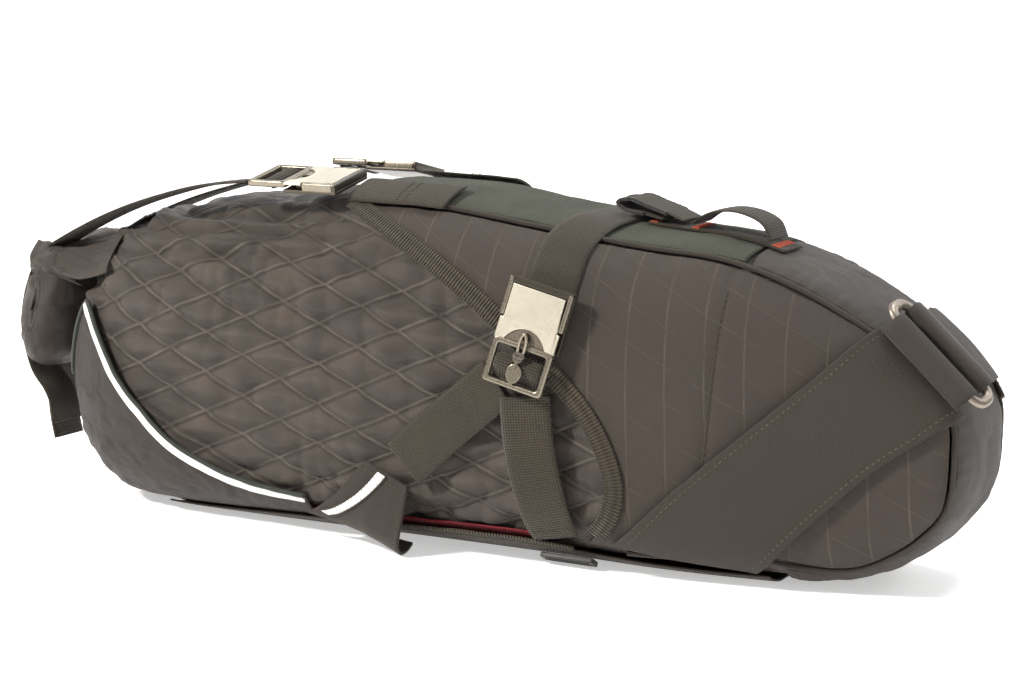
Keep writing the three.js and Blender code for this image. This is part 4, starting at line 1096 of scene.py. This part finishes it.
def wings():
    u, v = smooth_rows(60, 80)
    p = wing_points(u, v)
    du, dv = np.gradient(p, axis=0), np.gradient(p, axis=1)
    n = unit(np.cross(dv, du))
    if np.mean(n[:, 10, 1]) > 0:
        n = -n
    hem = 0.45 * (bell(u - 1, 0.05) + bell(v, 0.035))
    puff = 0.5 * noise(u * 5, v * 4, 171) * np.sin(math.pi * u) * np.sin(math.pi * v)
    outer = p + n * (0.45 + hem * 0.5 + puff)[..., None]
    outer[..., 2] = np.maximum(outer[..., 2], 0.3)
    inner = p - n * (0.5 + hem * 0.5 - puff * 0.8)[..., None]
    inner[..., 2] = np.maximum(inner[..., 2], 0.9)
    vs = np.linspace(0.03, 0.80, 90)
    stripe_u = np.linspace(0.44, 0.10, 90)
    sp = wing_points(stripe_u, vs)
    step = wing_points(stripe_u + 0.02, vs) - sp
    sn = unit(np.cross(tangents(sp), unit(step)))
    sn = sn * np.where(sn[:, 1:2] > 0, -1, 1)
    hems = (wing_points(np.full(80, 0.955), np.linspace(0.06, 0.97, 80)),
            wing_points(np.linspace(0.1, 0.93, 60), np.full(60, 0.07)))
    for side, m in SIDES:
        slab(f"wing_{side}_cloth", m(outer), m(inner), "smooth", slot="laminate", replaces=(f"wing_{side}",))
        ribbon(f"wing_stripe_{side}", m(sp + sn * 0.95), m(sn), 4.6, 0.5, "reflective", slot="reflective",
               across=m(step))
        for k, end in ((-1, "a"), (1, "b")):
            edge = sp + unit(step) * 3.1 * k
            rod(f"wing_stripe_edge_{side}_{end}", m(edge + sn * 0.8), 0.5, "smooth", 6, up=m(sn), slot="laminate")
            stitch(m(sp + unit(step) * 1.9 * k + sn * 1.2), m(sn), colour="dark thread", length=1.5, gap=0.9,
                   radius=0.16)
        for q in hems:
            stitch(m(q + (0, -1.05, 0)), m((0, -1.0, 0.05)), length=1.6, gap=1.0, radius=0.2)


def straps():
    up_front = np.array([(1, 45), (17, 60), (35, 76), (50, 89)], float)
    curve, x = strap_on("wing_strap", side_at(*up_front.T), WEB_W, STRAP, "twill", wave=0.2, seed=181)
    rows_of_stitches(curve, x, (0.04, 0.09), 11, 3.3)
    low = np.array([(65, 84), (67, 66), (71, 46), (75, 30), (78, 19)], float)
    curve, x = strap_on("lower_strap", side_at(*low.T), WEB_W, STRAP_OVER, "webbing", wave=0.25, seed=183)
    rows_of_stitches(curve, x, (0.12, 0.2, 0.93), 11, 4.9)
    over = [*side_at(*np.array([(70, 119), (71.5, 130), (72, 141)], float).T)]
    over += [*top_at(*np.array([(72, -60), (73, -48), (76, -32), (79, -14)], float).T)]
    full = over + [mirrored(q) for q in over[::-1]]
    curve, x = strap_on("cross", full, WEB_W, (STRAP[0], STRAP[1] + 0.1), "twill", count=180, wave=0.3, seed=185,
                        sides=SIDES[:1], nodes=("cross_strap",))
    rows_of_stitches(curve, x, (0.115,), 11, 3.4)
    anchor = top_at(*np.array([(-49, -38), (-32, -38), (-14, -38), (4, -38)], float).T)
    curve, x = strap_on("anchor_strap", anchor, WEB_W, STRAP_OVER, "twill", count=50, wave=0.5, seed=187)
    rows_of_stitches(curve, x, (0.5, 0.58), 11, 5.0)


STRAP_Y, STRAP_SINK, TOP_BUCKLE = 30.0, 5.0, (-76.0, 40.0)


def top_straps():
    y0 = TOP_BUCKLE[1]
    ahead = [(-106, y0, 170.8), (-137, y0 - 2, 166.2), (-162, y0 - 4, 159.5), (-186, y0 - 7, 151.5),
             (-208, y0 - 9, 142)]
    over = [roll_at(STRAP_Y, math.radians(a), -STRAP_SINK) for a in (98, 122, 145, 168, 190, 210)]
    behind = [(-244, y0 - 10, 62), (-236, y0 - 10, 52), (-232, y0 - 10, 44), (-230.5, y0 - 10, 34)]
    path = spline([*ahead, *over, *behind], 200)
    t = tangents(path)
    up = unit(np.cross(t, np.array([(0, 1.0, 0)] * len(t))))
    if up[5, 2] < 0:
        up = -up
    path = path + up * 0.6
    for side, m in (("right", mirrored), ("left", same)):
        ribbon(f"top_strap_{side}_web", m(path), m(up), WEB_W, 1.3, "twill", cols=15, across=(0, 1.0, 0),
               body=f"top_strap_{side}", slot="webbing", replaces=(f"top_strap_{side}",), bulge=0.25)
    hang = spline([(-251, 0, 59), (-254, 0, 46), (-253, 0, 32), (-250, 0, 19)], 60)
    ribbon("tail_web_tab", hang + (-1.2, 0, 0), (-1.0, 0, 0), WEB_W, 2.2, "webbing", cols=13, across=(0, 1.0, 0),
           body="tail_web", slot="webbing", replaces=("tail_web",))
    for z in (32, 29.5):
        line = np.array([(-254.6, y, z) for y in np.linspace(-11, 11, 10)])
        stitch(line, (-1.0, 0, 0), body="tail_web", colour="dark thread", length=1.8, gap=0.9)


# ---------------------------------------------------------------- buckles
def basis(point, along, normal, distance):
    z = unit(np.asarray(normal, float))
    y = unit(np.asarray(along, float) - z * np.dot(along, z))
    x = np.cross(y, z)
    m = Matrix(np.column_stack([x, y, z]).tolist()).to_4x4()
    m.translation = Vector((np.asarray(point) + z * distance).tolist())
    return m


def side_frame(m):
    lean = math.radians(13)
    centre = side_at(66.0, 109.0)
    down = (-math.sin(lean), 0, -math.cos(lean))
    return basis(m(centre), down, m(outward(centre)), BUCKLE) @ Matrix.Translation((0, -28, 0))


def top_frame(m):
    centre = top_at(TOP_BUCKLE[0], -TOP_BUCKLE[1])
    n = unit(outward(centre) + (0, 0, 1))
    return basis(m(centre), (-1.0, 0, 0), m(n), STRAP[1] + 1.2) @ Matrix.Translation((0, -24, 0))


def placed(matrix, points):
    return np.array([matrix @ Vector(p) for p in points])


def axis(matrix, i):
    return np.array(matrix.col[i][:3])


def place(name, me, matrix, material, body, slot, replaces):
    """Moves a mesh made in local millimetres to the part's frame, and makes it a piece."""
    me.transform(matrix)
    local = matrix.inverted()
    uv = [(local @ v.co)[:2] for v in me.vertices]
    faces = [list(p.vertices) for p in me.polygons]
    obj = make(name, [v.co for v in me.vertices], faces, material, uv, body=body, slot=slot, replaces=replaces)
    obj.data.set_sharp_from_angle(angle=math.radians(42))


def plate(name, loops, z0, z1, matrix, material, body, bevel=0.35, slot="metal", replaces=()):
    """A flat plate with rounded edges: loops are its outline and then its holes, in the buckle's own frame."""
    data = bpy.data.curves.new(name, "CURVE")
    data.dimensions = "2D"
    data.fill_mode = "BOTH"
    for loop in loops:
        s = data.splines.new("POLY")
        s.points.add(len(loop) - 1)
        for point, (x, y) in zip(s.points, loop):
            point.co = (x, y, 0, 1)
        s.use_cyclic_u = True
    data.bevel_depth = bevel
    data.bevel_resolution = 2
    data.offset = -bevel
    data.extrude = (z1 - z0) / 2 - bevel
    obj = bpy.data.objects.new(name + "_curve", data)
    me = bpy.data.meshes.new_from_object(obj)
    bpy.data.objects.remove(obj)
    bpy.data.curves.remove(data)
    me.transform(Matrix.Translation((0, 0, (z0 + z1) / 2)))
    place(name, me, matrix, material, body, slot, replaces)


def round_corners(points, radius, steps=5):
    out = []
    n = len(points)
    for i, p in enumerate(points):
        p, a, b = (np.array(points[j % n], float) for j in (i, i - 1, i + 1))
        r = min(radius, np.linalg.norm(a - p) / 2.1, np.linalg.norm(b - p) / 2.1)
        s, e = p + (a - p) / np.linalg.norm(a - p) * r, p + (b - p) / np.linalg.norm(b - p) * r
        for t in np.linspace(0, 1, steps):
            out.append(tuple((1 - t) ** 2 * s + 2 * t * (1 - t) * p + t * t * e))
    return out


def rect(x0, y0, x1, y1, radius=0.8):
    return round_corners([(x0, y0), (x1, y0), (x1, y1), (x0, y1)], radius)


def circle(x, y, r, n=24):
    return [(x + r * math.cos(a), y + r * math.sin(a)) for a in np.arange(n) * 2 * math.pi / n]


def local_rod(name, points, radius, matrix, material, body, closed=False):
    rod(name, placed(matrix, points), radius, material, 9, closed, up=axis(matrix, 2), body=body, slot="metal")


def ring_points(cy, rx, ry, z, n, tilt):
    turn = np.arange(n) * 2 * math.pi / n
    return [(rx * math.cos(a), cy + ry * math.sin(a), z + tilt * math.sin(a)) for a in turn]


def buckle(name, matrix, slider_body, socket_body, pull_body=None):
    """A slide buckle: a channel sewn to one strap, a plate with a ladder frame on the other."""
    def part(tag, loops, z0, z1, material, body, bevel, node=None):
        plate(f"{name}_{tag}", loops, z0, z1, matrix, material, body, bevel,
              replaces=(f"{name}_{node}",) if node else ())
    half, narrow, wide = 16.5, 13.9, 15.5
    part("channel", [rect(-half, 0, half, 30, 1.2)], 0.0, 1.6, "gunmetal", socket_body, 0.3, "socket")
    part("channel_head", [rect(-half, 0, half, 3.2, 0.9)], 1.3, 5.2, "gunmetal", socket_body, 0.5)
    for k, x in enumerate((-half, half - 2.2)):
        part(f"rail_{k}", [rect(x, 0.6, x + 2.2, 19)], 1.3, 5.3, "metal", socket_body, 0.55)
    bite = math.asin(0.32)
    arc = [(11.6 * math.cos(a), 34.0 - 11.6 * math.sin(a)) for a in np.linspace(bite, math.pi - bite, 26)]
    outline = round_corners([(-narrow, 3.6), (narrow, 3.6), (narrow, 20), (wide, 20), (wide, 30.3)], 0.9) + arc
    outline += round_corners([(-wide, 30.3), (-wide, 20), (-narrow, 20)], 0.9)
    part("plate", [outline], 3.9, 5.3, "plate", slider_body, 0.3, "slider")
    recess = [rect(-13, 20.5, 13, 30.1, 0.6), circle(0, 26, 2.1)]
    part("plate_recess", recess, 3.2, 4.5, "metal", slider_body, 0.2)
    part("plate_under", [rect(-13.4, 4.2, 13.4, 24, 0.6)], 2.1, 3.9, "gunmetal", slider_body, 0.2)
    frame_loops = [rect(-wide, 29.0, wide, 51, 2.4), rect(-wide + 2.9, 32.0, wide - 2.9, 48.2, 1.3)]
    part("ladder", frame_loops, 2.2, 5.5, "metal", slider_body, 0.9)
    bar = [(x, 40.5, 3.2) for x in np.linspace(-wide + 1.5, wide - 1.5, 8)]
    local_rod(f"{name}_ladder_bar", bar, 1.3, matrix, "gunmetal", slider_body)
    wrap = [(0, 47.5, 1.5), (0, 45.0, 2.6), (0, 42.6, 4.5), (0, 40.5, 5.0), (0, 38.0, 4.4), (0, 36.2, 2.6),
            (0, 36.6, 1.4), (0, 39.0, 0.9)]
    world = placed(matrix, spline(wrap, 40))
    across = axis(matrix, 0)
    up = unit(np.cross(tangents(world), across))
    up = up if np.dot(up[20], axis(matrix, 2)) > 0 else -up
    ribbon(f"{name}_ladder_web", world, up, 24.0, 1.1, "webbing", cols=11, across=across, body=slider_body,
           slot="webbing")
    if not pull_body:
        return
    link = ring_points(30.2, 1.7, 5.6, 6.6, 30, -0.9)
    local_rod(f"{name}_pull_link", link, 0.75, matrix, "metal", pull_body, True)
    for k, (y, r) in enumerate(((35.0, 2.3), (36.6, 1.7))):
        knot = ring_points(y, r, 1.0, 6.9, 20, 0.3)
        local_rod(f"{name}_pull_knot_{k}", knot, 0.8, matrix, "cord", pull_body, True)
    stem = [(0, y, 6.8 - 0.02 * (y - 36)) for y in np.linspace(36, 41, 8)]
    local_rod(f"{name}_pull_stem", stem, 0.9, matrix, "cord", pull_body)
    turn = np.arange(32) * 2 * math.pi / 32
    oval = [(3.9 * math.cos(a) * (1.0 - 0.12 * math.sin(a)), 43.6 + 4.6 * math.sin(a)) for a in turn]
    part("pull_tab", [oval], 6.1, 7.3, "metal", pull_body, 0.4, "pull")


def buckles():
    foot = side_at(80.0, 10.0)
    for side, m in SIDES:
        buckle(f"side_buckle_{side}", side_frame(m), f"side_slider_{side}", "harness", f"side_pull_{side}")
        buckle(f"top_buckle_{side}", top_frame(m), f"top_slider_{side}", "harness")
        matrix = basis(m(foot), (0, 0, -1), m(outward(foot)), BUCKLE)
        slots = [rect(-11.5, -1.6, 11.5, 0.1, 0.5), rect(-11.5, 1.5, 11.5, 3.0, 0.5)]
        plate(f"ladder_lock_{side}_body", [rect(-14, -3, 14, 4, 1.2), *slots], 0.2, 2.6, matrix, "plastic", "harness",
              0.4, slot="plastic", replaces=(f"ladder_lock_{side}",))


# ---------------------------------------------------------------- saddle rail straps
def rail_straps():
    def lane(points):
        x, h = np.array(points, float).T
        return top_at(x, -6.0) + stack(0.0, 0.0, h)

    def facing_up(q, k):
        """Normals of a curve in a plane of constant y, turned so that the one at k points up."""
        n = unit(np.cross((0, -1.0, 0), tangents(q)))
        return n if n[k, 2] > 0 else -n
    curve = settle(spline(settle(lane([(97, 0), (118, 0), (140, 0), (166, 0)])), 60))
    k = np.linspace(-0.5, 0.5, 11)
    rows = settle(curve[:, None] + (k * WEB_W)[None, :, None] * np.array((0, -1.0, 0)))
    slab("rail_webbing_web", lift(rows, 3.2 - np.abs(2 * k)[None] ** 12 * 0.35), lift(rows, 2.0), "webbing",
         slot="webbing", replaces=("rail_webbing",))
    flap = lane([(115, 5), (107, 7.6), (96, 10), (87, 11.6), (81.5, 9.3), (85, 6.9), (95, 6.4), (105, 5.3)])
    arch = lane([(120, 4.6), (126, 9.2), (135, 12.4), (146, 13), (155, 10.6), (158.5, 4.6)])
    for name, points, body in (("rail_flap", flap, "rail_flap"), ("rail_loop", arch, "harness")):
        q = spline(points, 90)
        up = facing_up(q, 20)
        ribbon(f"{name}_web", q + up * 0.55, up, WEB_W, 1.2, "webbing", cols=13, across=(0, 1.0, 0), body=body,
               slot="webbing", replaces=(name,), bulge=0.3)
    q = spline(flap[1:7], 60)
    up = facing_up(q, 8)
    for k, y in enumerate((-12.6, 12.6)):
        radius = 0.9 + 0.5 * np.abs(noise(np.arange(60) / 1.7, k * 3.0, 191))
        rod(f"rail_fuzz_{k}", q + up * 0.3 + (0, y, 0), radius, "fuzz", 7, up=up, body="rail_flap", slot="webbing")
    rod("rail_fuzz_end", q[26:38] + up[26:38] * 0.4 + (-0.9, 0, 0), 1.2, "fuzz", 7, body="rail_flap", slot="webbing")
    for x0 in (121.0, 161.0, 99.5):
        for j in np.linspace(-1, 1, 6):
            line = top_at(x0 + j * 1.6, np.linspace(-17.5, 5.5, 14))
            m = outward(line)
            stitch(line + m * 3.35, m, colour="orange", length=1.5, gap=0.15, radius=0.3)


# ---------------------------------------------------------------- seat post strap and ring
POST_LOW, POST_HIGH = np.array((257.0, -30.0, 86.0)), np.array((229.0, -36.0, 133.0))
RING_L, RING_W, RING_WIRE, RING_AHEAD = 63.4, 18.6, 5.4, -4.5


def ring_frame():
    centre = settle((POST_LOW + POST_HIGH) / 2)
    across = unit(POST_HIGH - POST_LOW)
    out = outward(centre)
    x = unit(across - out * np.dot(across, out))
    y = np.cross(out, x)
    m = Matrix(np.column_stack([x, y, out]).tolist()).to_4x4()
    m.translation = Vector((centre + out * (STRAP[1] + 6.6) + y * RING_AHEAD).tolist())
    return m


def post():
    m = ring_frame()
    a, b, corner = (RING_L - RING_WIRE) / 2, (RING_W - RING_WIRE) / 2, 5.0

    def arc(cx, cy, r, degrees):
        return [(cx + r * math.cos(math.radians(d)), cy + r * math.sin(math.radians(d))) for d in degrees]
    path = []
    for cx, cy, start in ((a - corner, b - corner, 0), (corner - a, b - corner, 90), (corner - a, corner - b, 180),
                          (a - corner, corner - b, 270)):
        path += [(*p, 0) for p in arc(cx, cy, corner, start + np.linspace(0, 90, 8))]
    path = spline(path + path[:1], 97)[:-1]
    rod("post_ring_bar", placed(m, path), RING_WIRE / 2, "ring", 16, True, 0.72, axis(m, 2), body="post_ring",
        slot="metal", replaces=("post_ring",))
    leg, r = b, RING_WIRE / 2 + 0.5
    fold = [(leg + 12, -2.2), (leg + 7, 0.8), (leg + 3.5, 2.7), *arc(leg, 0, r, (90, 125, 160, 200, 235, 270)),
            (leg + 3, -r), (leg + 6, -r - 0.6)]
    for name, k, body in (("right", 1, "harness"), ("left", -1, "post_ring")):
        world = placed(m, spline([(0, k * y, z) for y, z in fold], 70))
        side = axis(m, 0)
        n = unit(np.cross(tangents(world), side))
        n = n if np.dot(n[25], world[25] - placed(m, [(0, k * leg, 0)])[0]) > 0 else -n
        ribbon(f"post_fold_{name}_cloth", world + n * 0.45, n, 49.0, 1.1, "smooth", cols=15, across=side, body=body,
               slot="laminate", replaces=(f"post_fold_{name}",))
    low = spline([side_at(172.0, 11.0), side_at(200.0, 37.0), side_at(228.0, 64.0), POST_LOW], 150)
    high = spline([side_at(106.0, 18.0), side_at(146.0, 55.0), side_at(188.0, 94.0), POST_HIGH], 150)
    v = np.linspace(0, 1, 46)
    grid = settle(low[:, None] * (1 - v[None, :, None]) + high[:, None] * v[None, :, None])
    hem = bell(v, 0.05) + bell(v - 1.0, 0.05) + bell(v, 0.09) * 0.3
    sag = 0.5 * noise(np.linspace(0, 6, 150)[:, None], np.linspace(0, 2, 46)[None, :], 201)
    stand = 1.1 * bell(v - 1.0, 0.25)[None, :] * np.sin(math.pi * np.linspace(0, 1, 150))[:, None]
    outer = lift(grid, 3.9 + 0.35 * hem[None, :] + 0.4 * sag + stand)
    inner = lift(grid, 2.7 - 0.2 * hem[None, :] + 0.4 * np.minimum(sag, 0) + stand * 0.7)
    along, across = [outer[4:-3, k] for k in (3, 42)], [outer[k, 4:-4] for k in (128, 133, 146)]
    for side, w in SIDES:
        slab(f"post_strap_{side}_cloth", w(outer), w(inner), "smooth", lengths(outer), slot="laminate",
             replaces=(f"post_strap_{side}",))
        for line in along:
            stitch(w(line), w(outward(line)), length=2.1, gap=1.0, radius=0.25)
        for line in across:
            stitch(w(line), w(outward(line)), colour="dark thread", length=2.0, gap=1.0, radius=0.22)
    u, v = smooth_rows(60, 50)
    p = ray_point(20 + 38 * v, -12 + 43 * u)
    slab("post_bridge_cloth", lift(p, 5.6 + 0.3 * noise(u * 4, v * 3, 211)), lift(p, 4.5), "smooth",
         slot="laminate", replaces=("post_bridge",))


def hems():
    """Ribbed tape folded over the slanted mouth."""
    width = 9.0
    path = mouth_curve[: int(len(mouth_curve) * 0.968)]
    curve, x = strap_on("hem_binding", path[::12], width, (2.0, 3.3), "tape", count=170, cols=15, wave=0.35, seed=221,
                        slot="tape")
    line = settle(curve - x * width * 0.36)
    up = outward(line)
    for _, m in SIDES:
        stitch(m(line + up * 3.35), m(up), colour="dark thread", length=1.7, gap=0.9, radius=0.2)


dry_bag()
roll()
roll_ears()
roll_neck()
side_panels()
top_panel()
nose_gusset()
seams()
base()
cup()
cup_trim()
hems()
wings()
straps()
top_straps()
buckles()
rail_straps()
post()
sew()
